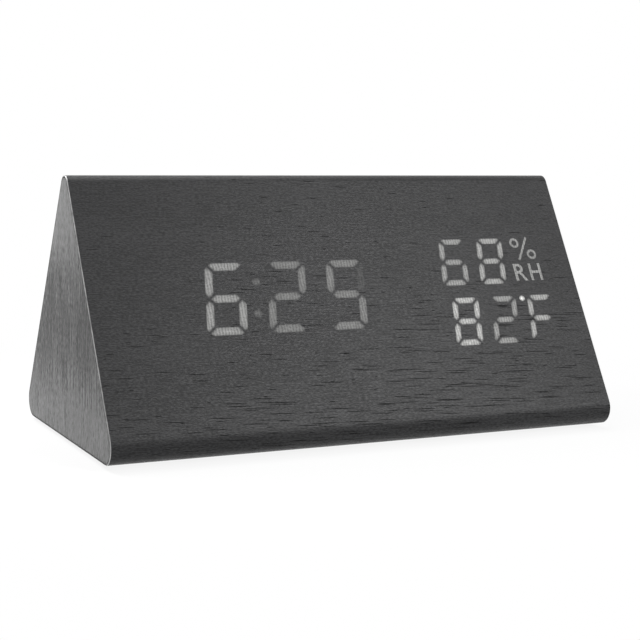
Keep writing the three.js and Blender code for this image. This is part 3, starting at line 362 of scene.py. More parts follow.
def open_pores(tree, body_place, cells, pore_share, slow):
    """1 in a pore and 0 outside: cells is the laid pattern, pore_share the share of cells with a pore."""
    cell = add(tree, "TexVoronoi", {"Vector": cells, "Scale": 1.0}, voronoi_dimensions="2D")
    luck = add(tree, "SeparateColor", {0: cell.outputs["Color"]}).outputs[2]
    height = add(tree, "VectorMath", {0: body_place, 1: PORES_FALL}, operation="DOT_PRODUCT")
    rare = add(tree, "MapRange", {
        0: height.outputs["Value"], 1: PORES_FROM * MM, 2: PORES_TO * MM, 3: PORES_MORE, 4: PORES_FEWER})
    strewn = add(tree, "Math", {0: slow, 1: PORES_PATCH, 2: rare}, operation="MULTIPLY_ADD")
    drawn = add(tree, "Math", {0: luck, 1: strewn})
    reach = add(tree, "MapRange", {
        0: drawn, 1: 1 - pore_share, 2: 1.0, 3: PORE_LEAST, 4: PORE_REACH})
    size = add(tree, "CombineXYZ", {0: reach, 1: PORE_GIRTH, 2: 1.0})
    off = add(tree, "VectorMath", {0: cells, 1: cell.outputs["Position"]}, operation="SUBTRACT")
    inside = add(tree, "VectorMath", {0: off, 1: size}, operation="DIVIDE")
    away = add(tree, "VectorMath", {0: inside}, operation="LENGTH").outputs["Value"]
    return add(tree, "MapRange", {0: away, 1: 1.0, 2: PORE_EDGE})


print("pores thin out from", PORES_FROM, "to", PORES_TO, "mm up the clock")

# %% [markdown]
# Where the readout shines through, the same film also gives light. A glow value on the mesh says how
# much, and the ribs of the diffuser behind it and the print's own flecks break it up.

# %% Light through the film
RIB_PITCH, RIB_SWAY, FLECK_SIZE, FLECK_SHARE = 0.85, 2.5, 0.45, 0.75
VEIL_LOW, VEIL_HIGH, THICK_SHINE, THIN_SHINE = 0.3, 0.7, 0.6, 1.4
WAVE_RATE = 20  # a Wave texture takes the sine of 20 times the place
WAVE_UNIT = 2 * math.pi / WAVE_RATE  # so at this scale it has one wave to the unit


def shine_through(tree, body_place, skin):
    """Links the glow value, broken up by ribs and flecks, to the shader's emission."""
    glow = add(tree, "Attribute", attribute_name="glow").outputs["Fac"]
    ribs = add(tree, "Mapping", {"Vector": body_place, "Scale": [1 / (RIB_PITCH * MM)] * 3})
    rib = add(tree, "TexWave", {"Vector": ribs, "Scale": WAVE_UNIT, "Distortion": RIB_SWAY})
    flecks = add(tree, "Mapping", {"Vector": body_place, "Scale": [1 / (FLECK_SIZE * MM)] * 3})
    fleck = add(tree, "TexNoise", {"Vector": flecks, "Scale": 1.0, "Detail": 2.0})
    veil = add(tree, "Mix", {0: FLECK_SHARE, 2: rib.outputs["Fac"], 3: fleck})
    thin = add(tree, "MapRange", {
        0: veil, 1: VEIL_LOW, 2: VEIL_HIGH, 3: THICK_SHINE, 4: THIN_SHINE})
    shine = add(tree, "Math", {0: glow, 1: thin}, operation="MULTIPLY")
    feed(tree, skin, {"Emission Color": linear("#fbfbf8"), "Emission Strength": shine})


print("ribs every", RIB_PITCH, "mm")

# %% [markdown]
# One function puts the film together, because the film and the end facings are the same stuff in two
# prints. On the facings the charcoal print is painted paler grey: painted light, for the light that falls
# on the ends. The pores are sunk, dark and rough, and no sheen comes out of them, so Specular Tint goes
# to black there. The facings also have a broad band of painted shade across the middle of each end,
# with painted light towards the top and the bottom, which a Wave texture gives.

# %% Film finishes
PORE_TONE, PORE_DEPTH = "#101010", -2.0
PORE_ROUGH, FIBRE_ROUGH = 0.6, 0.3
# painted shade on the facings: a wave this wide, darkest at this height up the end
PAINTED_SHADE_BELT_WIDTH, PAINTED_SHADE_MIDDLE = 62 * MM, 33 * MM
PAINTED_SHADE_SCALE = WAVE_UNIT / PAINTED_SHADE_BELT_WIDTH
PAINTED_SHADE_PHASE = -WAVE_RATE * PAINTED_SHADE_SCALE * PAINTED_SHADE_MIDDLE


def wood_film(
        name, tones, grain, speck_share, pore, pore_share, gloss, relief, lean=0.0, belt=0.0, lit=False):
    """Wood-grain film: two tones, grain {pattern: (length, width, detail)} and the pores' cells in mm."""
    material, tree, skin = new_finish(name)
    body_place = add(tree, "TexCoord").outputs["Object"]
    laid = lay_patterns(tree, {**grain, "pore": pore}, lean)
    shade, slow = fibre_shade(tree, laid, grain, speck_share)
    toned = add(tree, "Math", {0: shade, 1: slow})
    # painted shade and light: each end is darker across its middle and paler towards its top and bottom
    if belt:
        painted_light_and_shade_wave = add(tree, "TexWave", {
            "Vector": body_place, "Scale": PAINTED_SHADE_SCALE, "Phase Offset": PAINTED_SHADE_PHASE}, bands_direction="Z")
        deep = add(tree, "MapRange", {0: painted_light_and_shade_wave.outputs["Fac"], 3: -belt, 4: belt})
        toned = add(tree, "Math", {0: toned, 1: deep})
    dark, light = map(linear, tones)
    wood = add(tree, "Mix", {0: toned, 6: dark, 7: light}, data_type="RGBA").outputs[2]

    pores = open_pores(tree, body_place, laid["pore"], pore_share, slow)
    pored = add(tree, "Mix", {0: pores, 6: wood, 7: linear(PORE_TONE)}, data_type="RGBA")
    sheen = add(tree, "Mix", {0: pores, 6: WHITE, 7: linear("#000000")}, data_type="RGBA")
    sunk = add(tree, "Math", {0: pores, 1: PORE_DEPTH, 2: shade}, operation="MULTIPLY_ADD")
    matt = add(tree, "MapRange", {0: sunk, 1: -1.0, 2: 1.0, 3: PORE_ROUGH, 4: FIBRE_ROUGH})
    bump = add(tree, "Bump", {
        "Height": sunk, "Strength": BUMP_STRENGTH, "Distance": relief * MM})
    feed(tree, skin, {
        "Base Color": pored.outputs[2], "Specular Tint": sheen.outputs[2], "Specular IOR Level": gloss,
        "Roughness": matt, "Normal": bump})
    if lit:
        shine_through(tree, body_place, skin)
    print("finish:", material.name)
    return material


# Charcoal film: a dull sheen that follows the fibres, broken by black pores. The real speck and pores
# are finer than a pixel, so the speck is drawn 0.3 mm wide and the pores about 0.2 mm, to show.
FILM = {
    "tones": ("#171718", "#313132"), "gloss": 0.20, "relief": 0.05, "lean": math.radians(-2.7),
    "grain": {"fibre": (6.0, 0.5, 3.0), "speck": (1.0, 0.3, 3.0), "patch": (45.0, 14.0, 1.0)},
    "speck_share": 0.68, "pore": (12.0, 0.34), "pore_share": 0.22,
}
# Facing on the ends: the same print, upright and drier, painted paler grey as painted light for the ends,
# with painted shade across the middle of each end and painted light towards its top and bottom.
FACING = {
    # the paler tones are painted light, for the light that falls on the ends
    "tones": ("#444444", "#858585"), "gloss": 0.06, "relief": 0.06, "belt": 0.42,
    "grain": {"fibre": (12.0, 0.4, 3.0), "speck": (1.6, 0.4, 2.0), "patch": (30.0, 12.0, 1.0)},
    "speck_share": 0.45, "pore": (9.0, 0.40), "pore_share": 0.1,
}
film_finish = wood_film("vinyl film, printed and embossed", **FILM)
lit_finish = wood_film("vinyl film, lit from behind", **FILM, lit=True)
facing_with_painted_light = wood_film("vinyl facing, printed and embossed, painted light and shade", **FACING)

# %% [markdown]
# The cut edge of the film shows its paler vinyl core. It is very narrow, but it is the thin light line
# that runs round each end of the clock, so it gets a finish of its own. Its pale grey is partly the core's
# own colour and partly a painted highlight along the edge.

# %% Cut edge finish
# a bare, slightly ragged cut: pale grey, partly the core's own and partly painted highlight, dull, with
# rubbed patches
edge_core_and_highlight = drifting("vinyl core, cut, with painted highlight", "#8b8b8b", "#c9c9c9", 2.0, 0.5)
print("finish:", edge_core_and_highlight.name)

# %% [markdown]
# ## The case's faces
#
# The section is a triangle with rounded corners. Two matrices turn a drawing in millimetres, across
# and up a slope, into its place on the front or the rear face, so readout and controls are drawn
# flat and laid on afterwards.

# %% Case sizes and face frames
CASE_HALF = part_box("film_wrap")[1].x
CASE_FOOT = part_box("film_wrap")[0].z
BASE_WIDTH = 85.5 * MM
APEX_HEIGHT = 74.0 * MM
TOP_RADIUS = 3.3 * MM
BOTTOM_RADIUS = 4.8 * MM
FILM_THICKNESS = 0.5 * MM
FILM_CHAMFER = 0.2 * MM
SEAM_WIDTH = 0.3 * MM
SEAM_FROM_CORNER = 11.0 * MM
ARC_STEPS = 28

BASE_ANGLE = math.atan2(APEX_HEIGHT, BASE_WIDTH / 2)
SLOPE = math.pi / 2 - BASE_ANGLE
tilt = Matrix.Rotation(BASE_ANGLE, 4, "X")
half_turn = Matrix.Rotation(math.pi, 4, "Z")
shrink = Matrix.Scale(MM, 4)
front_face = Matrix.Translation((0, -BASE_WIDTH / 2, CASE_FOOT)) @ tilt @ shrink
rear_face = Matrix.Translation((0, BASE_WIDTH / 2, CASE_FOOT)) @ half_turn @ tilt @ shrink
base_face = Matrix.Translation((0, 0, CASE_FOOT)) @ shrink
FRONT_OUT = Vector((0, -math.sin(BASE_ANGLE), math.cos(BASE_ANGLE)))
REAR_OUT = Vector((0, math.sin(BASE_ANGLE), math.cos(BASE_ANGLE)))
DOWN = Vector((0, 0, -1))
SIDEWAYS = Vector((1, 0, 0))
FLATS = (FRONT_OUT, REAR_OUT, DOWN, SIDEWAYS)
print("slope of the faces:", round(math.degrees(BASE_ANGLE), 2), "degrees")

# %% [markdown]
# ## Meshes
#
# Each piece is modelled in a bmesh and then handed over once: it is laid in its place, doubles are
# welded, the normals are turned outwards, the mesh becomes an object at the origin, and it rides on
# its body in place of the CAD node that it stands for, with the finish of that node's slot.

# %% Handing a piece over
WELD = 0.002 * MM
SMOOTH_ANGLE = math.radians(32)
FLAT_ENOUGH = 0.99999


def hand_over(name, bm, node, place=Matrix(), body="case", finishes=None):
    """Turns bm into the piece for a node. Faces that lie along one of the case's flats stay flat."""
    bmesh.ops.transform(bm, matrix=place, verts=bm.verts)
    bmesh.ops.remove_doubles(bm, verts=bm.verts, dist=WELD)
    bm.normal_update()
    bmesh.ops.recalc_face_normals(bm, faces=bm.faces)
    mesh = bpy.data.meshes.new(name)
    bm.to_mesh(mesh)
    bm.free()
    mesh.set_sharp_from_angle(angle=SMOOTH_ANGLE)
    for face in mesh.polygons:
        face.use_smooth = not any(abs(face.normal.dot(way)) > FLAT_ENOUGH for way in FLATS)
    for finish in finishes or [FINISHES[slots[node]]]:
        mesh.materials.append(finish)
    piece = bpy.data.objects.new(name, mesh)
    bpy.context.scene.collection.objects.link(piece)
    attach(piece, body)
    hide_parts(node)
    print(name, "has", len(mesh.polygons), "faces")
    return piece


print("pieces are smooth up to", round(math.degrees(SMOOTH_ANGLE)), "degrees between faces")

# %% [markdown]
# Much of the clock is drawn as loops of edges: rounded rectangles and circles, with walls bridged
# between them. The smaller helpers pick out what an operator has made.

# %% Loops and edges
CORNER_STEPS = 8


def since(sequence, before):
    """What an operator has added to a bmesh sequence since the set before was taken."""
    return [item for item in sequence if item not in before]


def rounded_outline(bm, across, up, size, depth, less=0.0):
    """The edges of a rounded (width, height, radius), drawn flat and made smaller by less all round."""
    width, height, radius = size
    old_edges = set(bm.edges)
    corners = bmesh.ops.create_grid(bm, x_segments=1, y_segments=1, size=0.5)["verts"]
    bmesh.ops.scale(bm, vec=(width - 2 * less, height - 2 * less, 1), verts=corners)
    bmesh.ops.translate(bm, vec=(across, up, depth), verts=corners)
    bmesh.ops.bevel(
        bm, geom=corners, offset=radius - less, affect="VERTICES", segments=CORNER_STEPS, profile=0.5,
        material=-1)
    edges = since(bm.edges, old_edges)
    bmesh.ops.delete(bm, geom=edges[0].link_faces[:], context="FACES_ONLY")
    return edges


def round_outline(bm, across, up, radius, depth=0.0, sides=48):
    """The edges of a circle, drawn flat."""
    place = Matrix.Translation((across, up, depth))
    ring = bmesh.ops.create_circle(bm, segments=sides, radius=radius, matrix=place)["verts"]
    return list({edge for vert in ring for edge in vert.link_edges})


def wall(bm, *loops):
    """Bridges each loop to the next."""
    for loop, following in zip(loops, loops[1:]):
        bmesh.ops.bridge_loops(bm, edges=loop + following)


def corners_of(edges):
    return list({vert for edge in edges for vert in edge.verts})


def verts_in(geom):
    return [item for item in geom if isinstance(item, bmesh.types.BMVert)]


def open_edges(bm):
    return [edge for edge in bm.edges if edge.is_boundary]


print("a rounded corner has", CORNER_STEPS, "steps")

# %% [markdown]
# ## The readout
#
# Seven-segment digits are bars with mitred ends and a dark gap between them, leaning a little. Each
# lit bar is drawn as one flat face: its corners are rounded with a vertex bevel, a copy of the face,
# extruded in place and made smaller, gives it a soft rim, and a poke adds a middle point, where the
# diode behind it is brightest. An inset would cross over itself in the thin tips. A glow value on the
# vertices carries that fall-off to the film's lit finish.

# %% Bars of a digit
SEGMENT_GAP = 0.45
DIGIT_LEAN = math.tan(math.radians(8.2))
TIME_DIGIT = {"width": 11.7, "height": 20.9, "bar": 2.4, "clip": 1.7}
SMALL_DIGIT = {"width": 8.9, "height": 14.7, "bar": 1.9, "clip": 1.35}
LIT_BARS = {
    "2": "top, upper right, middle, lower left, bottom",
    "5": "top, upper left, middle, lower right, bottom",
    "6": "top, upper left, middle, lower left, lower right, bottom",
    "8": "top, upper left, upper right, middle, lower left, lower right, bottom",
    "F": "top, upper left, middle, lower left",
}


def digit_bars(width, height, bar, clip):
    """The outlines of a digit's seven bars about its middle, by name."""
    right, top = width / 2, height / 2
    gap = SEGMENT_GAP * math.sqrt(0.5)
    tip_out, tip_in = (clip + gap) / 2, (clip - gap) / 2
    cap = [
        (right - clip, top), (right - tip_out, top - tip_in), (right - bar - gap, top - bar),
        (-right + bar + gap, top - bar), (-right + tip_out, top - tip_in), (-right + clip, top),
    ]
    post = [
        (right, top - clip), (right, bar / 2 + gap), (right - bar / 2, gap),
        (right - bar, bar / 2 + gap), (right - bar, top - bar - gap), (right - tip_in, top - tip_out),
    ]
    belt = [
        (right - bar / 2 - gap, 0), (right - bar - gap, bar / 2), (-right + bar + gap, bar / 2),
        (-right + bar / 2 + gap, 0), (-right + bar + gap, -bar / 2), (right - bar - gap, -bar / 2),
    ]

    def flipped(points, x, y):
        return [(point[0] * x, point[1] * y) for point in points]

    return {
        "top": cap, "middle": belt, "bottom": flipped(cap, 1, -1),
        "upper right": post, "upper left": flipped(post, -1, 1),
        "lower right": flipped(post, 1, -1), "lower left": flipped(post, -1, -1),
    }


print("bars of a digit:", ", ".join(digit_bars(**TIME_DIGIT)))

# %% Lit faces
BAR_ROUNDING, BAR_RIM, BAR_END_RIM, DOT_RIM = 0.35, 0.34, 2.4, 0.3
RIM_GLOW, SHOULDER_GLOW = 0.08, 0.8
readout = bmesh.new()
glow_layer = readout.verts.layers.float.new("glow")


def lit_face(points, level, rounding=BAR_ROUNDING, rim=BAR_RIM, place=Matrix()):
    """One lit patch of film: bright in the middle, soft at its rim."""
    old_faces, old_verts = set(readout.faces), set(readout.verts)
    corners = [readout.verts.new((x, y, 0)) for x, y in points]
    readout.faces.new(corners)
    if rounding:
        bmesh.ops.bevel(
            readout, geom=corners, offset=rounding, affect="VERTICES", segments=3, profile=0.5,
            material=-1, clamp_overlap=True)
    patch = since(readout.faces, old_faces)
    middle = sum((vert.co for vert in patch[0].verts), Vector()) / len(patch[0].verts)
    reach = [max(abs(vert.co[axis] - middle[axis]) for vert in patch[0].verts) for axis in (0, 1)]
    for vert in patch[0].verts:
        vert[glow_layer] = RIM_GLOW * level
    patch = bmesh.ops.extrude_discrete_faces(readout, faces=patch)["faces"]
    for vert in patch[0].verts:
        vert[glow_layer] = SHOULDER_GLOW * level
    shares = [1 - rim * (BAR_END_RIM if half == max(reach) else 1.0) / half for half in reach]
    bmesh.ops.scale(
        readout, vec=(*shares, 1), space=Matrix.Translation(-middle), verts=patch[0].verts)
    for vert in bmesh.ops.poke(readout, faces=patch)["verts"]:
        vert[glow_layer] = level
    bmesh.ops.transform(readout, matrix=place, verts=since(readout.verts, old_verts))


def lit_digit(bars, size, across, up, level):
    outlines = digit_bars(**size)
    lean = Matrix.Translation((across, up, 0))
    lean[0][1] = DIGIT_LEAN
    for bar in bars.split(", "):
        lit_face(outlines[bar], level, place=lean)


def lit_dot(across, up, radius, level, sides=20):
    turn = 2 * math.pi / sides
    ring = [(radius * math.cos(turn * at), radius * math.sin(turn * at)) for at in range(sides)]
    lit_face(ring, level, rounding=0, rim=radius * DOT_RIM, place=Matrix.Translation((across, up, 0)))


print("a bar is", BAR_END_RIM, "times as soft at its ends as along its sides")

# %% [markdown]
# Each reading is a row of digits, placed from one end of the reflector behind the film. The diodes of
# a real readout are never equally bright, so each digit has its own level. One bar that should be
# dark glimmers a little, and so does the colon, which was caught between two blinks.

# %% Digits and dots
READOUT_LEFT, READOUT_RIGHT = [side.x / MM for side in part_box("display_reflector")]
TIME_INSET, TIME_PITCH, TIME_UP = 26.6, 17.85, 44.82
SMALL_INSET, SMALL_PITCH = 31.4, 12.65
HUMIDITY_UP, HUMIDITY_SHIFT = 53.5, 0.15
TEMPERATURE_UP, TEMPERATURE_SHIFT = 35.05, -0.25
COLON_SPREAD, COLON_RADIUS = 9.2, 1.3
DEGREE_RISE, DEGREE_RADIUS = 6.35, 0.95
TIME_SIGNS = (("6", 0.275), ("2", 0.16), ("5", 0.17))
HUMIDITY_SIGNS = (("6", 0.29), ("8", 0.365))
TEMPERATURE_SIGNS = (("8", 0.47), ("2", 0.28), ("F", 0.37))
COLON_LEVEL, DEGREE_LEVEL, STRAY_LEVEL = 0.092, 0.90, 0.023

time_first = READOUT_LEFT + TIME_INSET
small_first = READOUT_RIGHT - SMALL_INSET
for signs, size, pitch, across, up in (
        (TIME_SIGNS, TIME_DIGIT, TIME_PITCH, time_first, TIME_UP),
        (HUMIDITY_SIGNS, SMALL_DIGIT, SMALL_PITCH, small_first + HUMIDITY_SHIFT, HUMIDITY_UP),
        (TEMPERATURE_SIGNS, SMALL_DIGIT, SMALL_PITCH, small_first + TEMPERATURE_SHIFT, TEMPERATURE_UP)):
    for place, (sign, level) in enumerate(signs):
        lit_digit(LIT_BARS[sign], size, across + place * pitch, up, level)
lit_digit("upper right", TIME_DIGIT, time_first + 2 * TIME_PITCH, TIME_UP, STRAY_LEVEL)
for rise in (-COLON_SPREAD / 2, COLON_SPREAD / 2):
    colon_across = time_first + TIME_PITCH / 2 + rise * DIGIT_LEAN
    lit_dot(colon_across, TIME_UP + rise, COLON_RADIUS, COLON_LEVEL)
degree_across = small_first + 1.5 * SMALL_PITCH + DEGREE_RISE * DIGIT_LEAN
lit_dot(degree_across, TEMPERATURE_UP + DEGREE_RISE, DEGREE_RADIUS, DEGREE_LEVEL)
print("lit faces so far:", len(readout.faces))

# %% [markdown]
# The unit signs are windows in a mask, thinner than the bars. The percent sign is two rings and a
# stroke, bridged and drawn like the rest. The two unit letters start as a text object, which is
# turned into a mesh and then joins the other lit faces.

# %% Unit signs
SIGN_LEVEL, LETTER_LEVEL = 0.29, 0.28
RING_RADII, RING_SHARES, RING_SIDES = (1.62, 1.22, 0.8), (0.45, 1.0, 0.45), 28
SIGN_PLACE = small_first + 2 * SMALL_PITCH
RINGS = [(SIGN_PLACE - 3.0, HUMIDITY_UP + 5.65), (SIGN_PLACE + 2.05, HUMIDITY_UP + 1.9)]
STROKE_TOP = Vector((SIGN_PLACE + 1.6, HUMIDITY_UP + 7.6))
STROKE_FOOT = Vector((SIGN_PLACE - 2.7, HUMIDITY_UP))
STROKE_HALF, STROKE_ROUNDING, STROKE_RIM = 0.36, 0.1, 0.15
LETTER_BOLDNESS = 0.01
LETTERS = {"R": (SIGN_PLACE - 5.5, SIGN_PLACE - 1.45), "H": (SIGN_PLACE - 0.25, SIGN_PLACE + 3.75)}
LETTERS_FOOT, LETTERS_TOP = HUMIDITY_UP - 6.5, HUMIDITY_UP - 1.1

for across, up in RINGS:
    loops = [round_outline(readout, across, up, radius, sides=RING_SIDES) for radius in RING_RADII]
    for loop, share in zip(loops, RING_SHARES):
        for vert in corners_of(loop):
            vert[glow_layer] = share * SIGN_LEVEL
    wall(readout, *loops)
side = (STROKE_TOP - STROKE_FOOT).orthogonal().normalized() * STROKE_HALF
stroke = [STROKE_TOP + side, STROKE_TOP - side, STROKE_FOOT - side, STROKE_FOOT + side]
lit_face([tuple(point) for point in stroke], SIGN_LEVEL, STROKE_ROUNDING, STROKE_RIM)

for letter, (left, right) in LETTERS.items():
    sign = bpy.data.curves.new("unit letter", "FONT")
    sign.body = letter
    sign.offset = LETTER_BOLDNESS
    sign_object = bpy.data.objects.new("unit letter", sign)
    sign_mesh = bpy.data.meshes.new_from_object(sign_object)
    before_letter = set(readout.verts)
    readout.from_mesh(sign_mesh)
    glow_layer = readout.verts.layers.float["glow"]
    drawn = since(readout.verts, before_letter)
    low, high = [Vector(pick(vert.co[axis] for vert in drawn) for axis in range(3)) for pick in (min, max)]
    bmesh.ops.translate(readout, vec=-low, verts=drawn)
    grown = ((right - left) / (high - low).x, (LETTERS_TOP - LETTERS_FOOT) / (high - low).y, 1)
    bmesh.ops.scale(readout, vec=grown, verts=drawn)
    bmesh.ops.translate(readout, vec=(left, LETTERS_FOOT, 0), verts=drawn)
    for vert in drawn:
        vert[glow_layer] = LETTER_LEVEL
    bpy.data.objects.remove(sign_object)
    bpy.data.curves.remove(sign)
    bpy.data.meshes.remove(sign_mesh)
bmesh.ops.remove_doubles(readout, verts=readout.verts, dist=WELD / MM)
bmesh.ops.transform(readout, matrix=front_face, verts=readout.verts)
print("lit faces:", len(readout.faces))

# %% [markdown]
# ## The film
#
# On the real clock one sheet of film goes round the boards and meets itself in a seam underneath. Its
# section is drawn by spinning three points through the rounded corners, once for each ring along
# the sheet, and the rings are bridged: outer skin, chamfered ends, cut edges and inner skin. The
# flat faces are then filled again around the lit bars and around the openings.

# %% Section rings
LIT, EDGE = 1, 2  # places in the list of finishes: the plain film is 0
seam_middle = BASE_WIDTH / 2 - SEAM_FROM_CORNER


def section_arcs(bm, x, inset):
    """Spins the three rounded corners at x, front, top and rear: each one's (first, last) vertices."""
    lower, upper = BOTTOM_RADIUS - inset, TOP_RADIUS - inset
    out = BASE_WIDTH / 2 - BOTTOM_RADIUS / math.tan(BASE_ANGLE / 2)
    foot = CASE_FOOT + BOTTOM_RADIUS
    peak = CASE_FOOT + APEX_HEIGHT - TOP_RADIUS / math.cos(BASE_ANGLE)
    arcs = []
    for y, z, radius, start, sweep in (
        (-out, foot, lower, -math.pi / 2, math.pi / 2 + SLOPE),
        (0.0, peak, upper, math.pi - SLOPE, math.pi - 2 * SLOPE),
        (out, foot, lower, SLOPE, math.pi / 2 + SLOPE),
    ):
        first = bm.verts.new((x, y + radius * math.cos(start), z + radius * math.sin(start)))
        turned = bmesh.ops.spin(
            bm, geom=[first], cent=(x, y, z), axis=(1, 0, 0), angle=-sweep, steps=ARC_STEPS)
        arcs.append((first, verts_in(turned["geom_last"])[0]))
    return arcs


def film_ring(bm, x, inset):
    """The edges of the film's section at x, open at the seam under the base."""
    old_edges = set(bm.edges)
    arcs = section_arcs(bm, x, inset)
    for (_, last), (first, _) in zip(arcs, arcs[1:]):
        bm.edges.new((last, first))
    for end, side in ((arcs[0][0], -1), (arcs[2][1], 1)):
        lip = bm.verts.new((x, seam_middle + side * SEAM_WIDTH / 2, end.co.z))
        bm.edges.new((end, lip))
    return since(bm.edges, old_edges)


film = bmesh.new()
film.verts.layers.float.new("glow")
chamfer_end = CASE_HALF - FILM_CHAMFER
rings = [
    film_ring(film, x, inset)
    for x, inset in (
        (-chamfer_end, 0.0), (chamfer_end, 0.0), (CASE_HALF, FILM_CHAMFER),
        (CASE_HALF, FILM_THICKNESS), (-CASE_HALF, FILM_THICKNESS), (-CASE_HALF, FILM_CHAMFER))
]
skins = []
for at, ring in enumerate(rings):
    following = rings[(at + 1) % len(rings)]
    skins.append(bmesh.ops.bridge_loops(film, edges=ring + following)["faces"])
outer_skin, inner_skin = skins[0], skins[3]
for face in skins[1] + skins[5]:
    face.material_index = EDGE
bmesh.ops.holes_fill(film, edges=open_edges(film))
bmesh.ops.recalc_face_normals(film, faces=film.faces)
print("film:", len(film.faces), "faces, open edges:", len(open_edges(film)))

# %% [markdown]
# The film has an opening for the control panel in the rear slope, and one for the battery bay in the
# base. The readout is no opening: the lit faces are parts of the film itself, and the front is filled
# again around them, so film and light lie in one skin.

# %% Openings and readout in the film
PANEL_UP, PANEL_OPENING = 42.0, (84.6, 26.6, 4.3)
POCKET_UP, POCKET_OPENING = 0.0, (114.1, 36.4, 3.3)
THICK = FILM_THICKNESS / MM


def open_flat(faces, way):
    """Takes the flat face that looks along way out of a skin, and returns its edges."""
    level = [face for face in faces if face.is_valid and abs(face.normal.dot(way)) > FLAT_ENOUGH]
    flat = max(level, key=lambda face: face.calc_area())
    border = list(flat.edges)
    bmesh.ops.delete(film, geom=[flat], context="FACES_ONLY")
    return border


def cut_opening(up, size, face_frame, way, inward):
    """Cuts an opening, size is (width, height, radius), through both skins and closes its wall."""
    loops = []
    for skin, depth in ((outer_skin, 0.0), (inner_skin, inward)):
        border = open_flat(skin, way)
        loop = rounded_outline(film, 0, up, size, depth)
        bmesh.ops.transform(film, matrix=face_frame, verts=corners_of(loop))
        bmesh.ops.triangle_fill(film, edges=border + loop, use_beauty=True, normal=way)
        loops.append(loop)
    wall(film, *loops)


cut_opening(PANEL_UP, PANEL_OPENING, rear_face, REAR_OUT, -THICK)
cut_opening(POCKET_UP, POCKET_OPENING, base_face, DOWN, THICK)

front_border = open_flat(outer_skin, FRONT_OUT)
lit_mesh = bpy.data.meshes.new("lit faces")
readout.to_mesh(lit_mesh)
readout.free()
old_faces = set(film.faces)
film.from_mesh(lit_mesh)
bpy.data.meshes.remove(lit_mesh)
lit_faces = since(film.faces, old_faces)
for face in lit_faces:
    face.material_index = LIT
lit_rims = [edge for face in lit_faces for edge in face.edges if edge.is_boundary]
bmesh.ops.triangle_fill(film, edges=front_border + lit_rims, use_beauty=True, normal=FRONT_OUT)
lit_area = sum(face.calc_area() for face in lit_faces)
print("lit area in mm2:", round(lit_area / MM**2), "open edges in the film:", len(open_edges(film)))

# %% [markdown]
# The grain map lays the sheet out flat: along the clock in one direction, and the way round the
# section from the seam in the other, both in metres. So the print keeps its size round the corners.

# %% Grain map of the film
section = bmesh.new()
film_ring(section, 0.0, 0.0)
*arc_points, front_lip, rear_lip = [vert.co.copy() for vert in section.verts]
section.free()
outline = [front_lip, *arc_points, rear_lip]


def map_grain(bm, spot):
    """Writes the grain map: spot gives a vertex its place on the sheet, along and across the grain."""
    layer = bm.loops.layers.uv.new(GRAIN_MAP)
    for face in bm.faces:
        for corner in face.loops:
            corner[layer].uv = spot(corner.vert)


def way_round(vert):
    """How far round the clock from the front lip a vertex lies, by the nearest bit of outline."""
    point = Vector((0, vert.co.y, vert.co.z))
    found, so_far = (math.inf, 0.0), 0.0
    for start, end in zip(outline, outline[1:]):
        share = min(max(intersect_point_line(point, start, end)[1], 0.0), 1.0)
        gap = (start.lerp(end, share) - point).length
        length = (end - start).length
        found = min(found, (gap, so_far + share * length))
        so_far += length
    return found[1]


ways = {vert: way_round(vert) for vert in film.verts}
map_grain(film, lambda vert: (vert.co.x, ways[vert]))
print("sheet in mm:", round(2 * CASE_HALF / MM, 1), "by", round(max(ways.values()) / MM, 1))
hand_over("wood_grain_film", film, "film_wrap", finishes=[film_finish, lit_finish, edge_core_and_highlight])

# %% [markdown]
# ## End facings
#
# Each end is closed by a thin facing of the same film, cut a little smaller than the section, so the
# film's cut edge shows round it. Its grain runs upright. The same three arcs give its outline,
# and extruding the filled ring gives its thickness.

# %% End facings
FACING_INSET = 0.6 * MM
FACING_THICKNESS = 0.5 * MM

for name, side in (("left", -1), ("right", 1)):
    facing = bmesh.new()
    arcs = section_arcs(facing, side * CASE_HALF, FACING_INSET)
    for (_, last), (first, _) in zip(arcs, arcs[1:] + arcs[:1]):
        facing.edges.new((last, first))
    bmesh.ops.contextual_create(facing, geom=facing.edges)
    back = bmesh.ops.extrude_face_region(facing, geom=list(facing.faces), use_keep_orig=True)["geom"]
    bmesh.ops.translate(facing, vec=(-side * FACING_THICKNESS, 0, 0), verts=verts_in(back))
    map_grain(facing, lambda vert: (vert.co.z, vert.co.y))
    hand_over(f"{name}_end_facing", facing, f"{name}_end_veneer", finishes=[facing_with_painted_light])

# %% [markdown]
# ## Flat-drawn pieces
#
# Mouldings and round parts are easiest to draw flat in millimetres: loops at their depths, walls
# between them, and faces filled round their holes. Round parts are a half section spun once round.
# The node's own box in the frame then says where the piece goes.

# %% Helpers for flat-drawn pieces
def sink(bm, loop, depth, share=1.0):
    """Extrudes a flat loop to another depth, scaled by share about its middle: the new loop."""
    made = bmesh.ops.extrude_edge_only(bm, edges=loop)["geom"]
    verts = verts_in(made)
    middle = sum((vert.co for vert in verts), Vector()) / len(verts)
    bmesh.ops.scale(bm, vec=(share, share, 1), space=Matrix.Translation(-middle), verts=verts)
    bmesh.ops.translate(bm, vec=(0, 0, depth - middle.z), verts=verts)
    return [
        item for item in made
        if isinstance(item, bmesh.types.BMEdge) and all(vert in verts for vert in item.verts)]


def fill(bm, *loops):
    """Fills a flat face between an outline and the loops inside it."""
    edges = [edge for loop in loops for edge in loop]
    bmesh.ops.triangle_fill(bm, edges=edges, use_beauty=True, normal=(0, 0, 1))


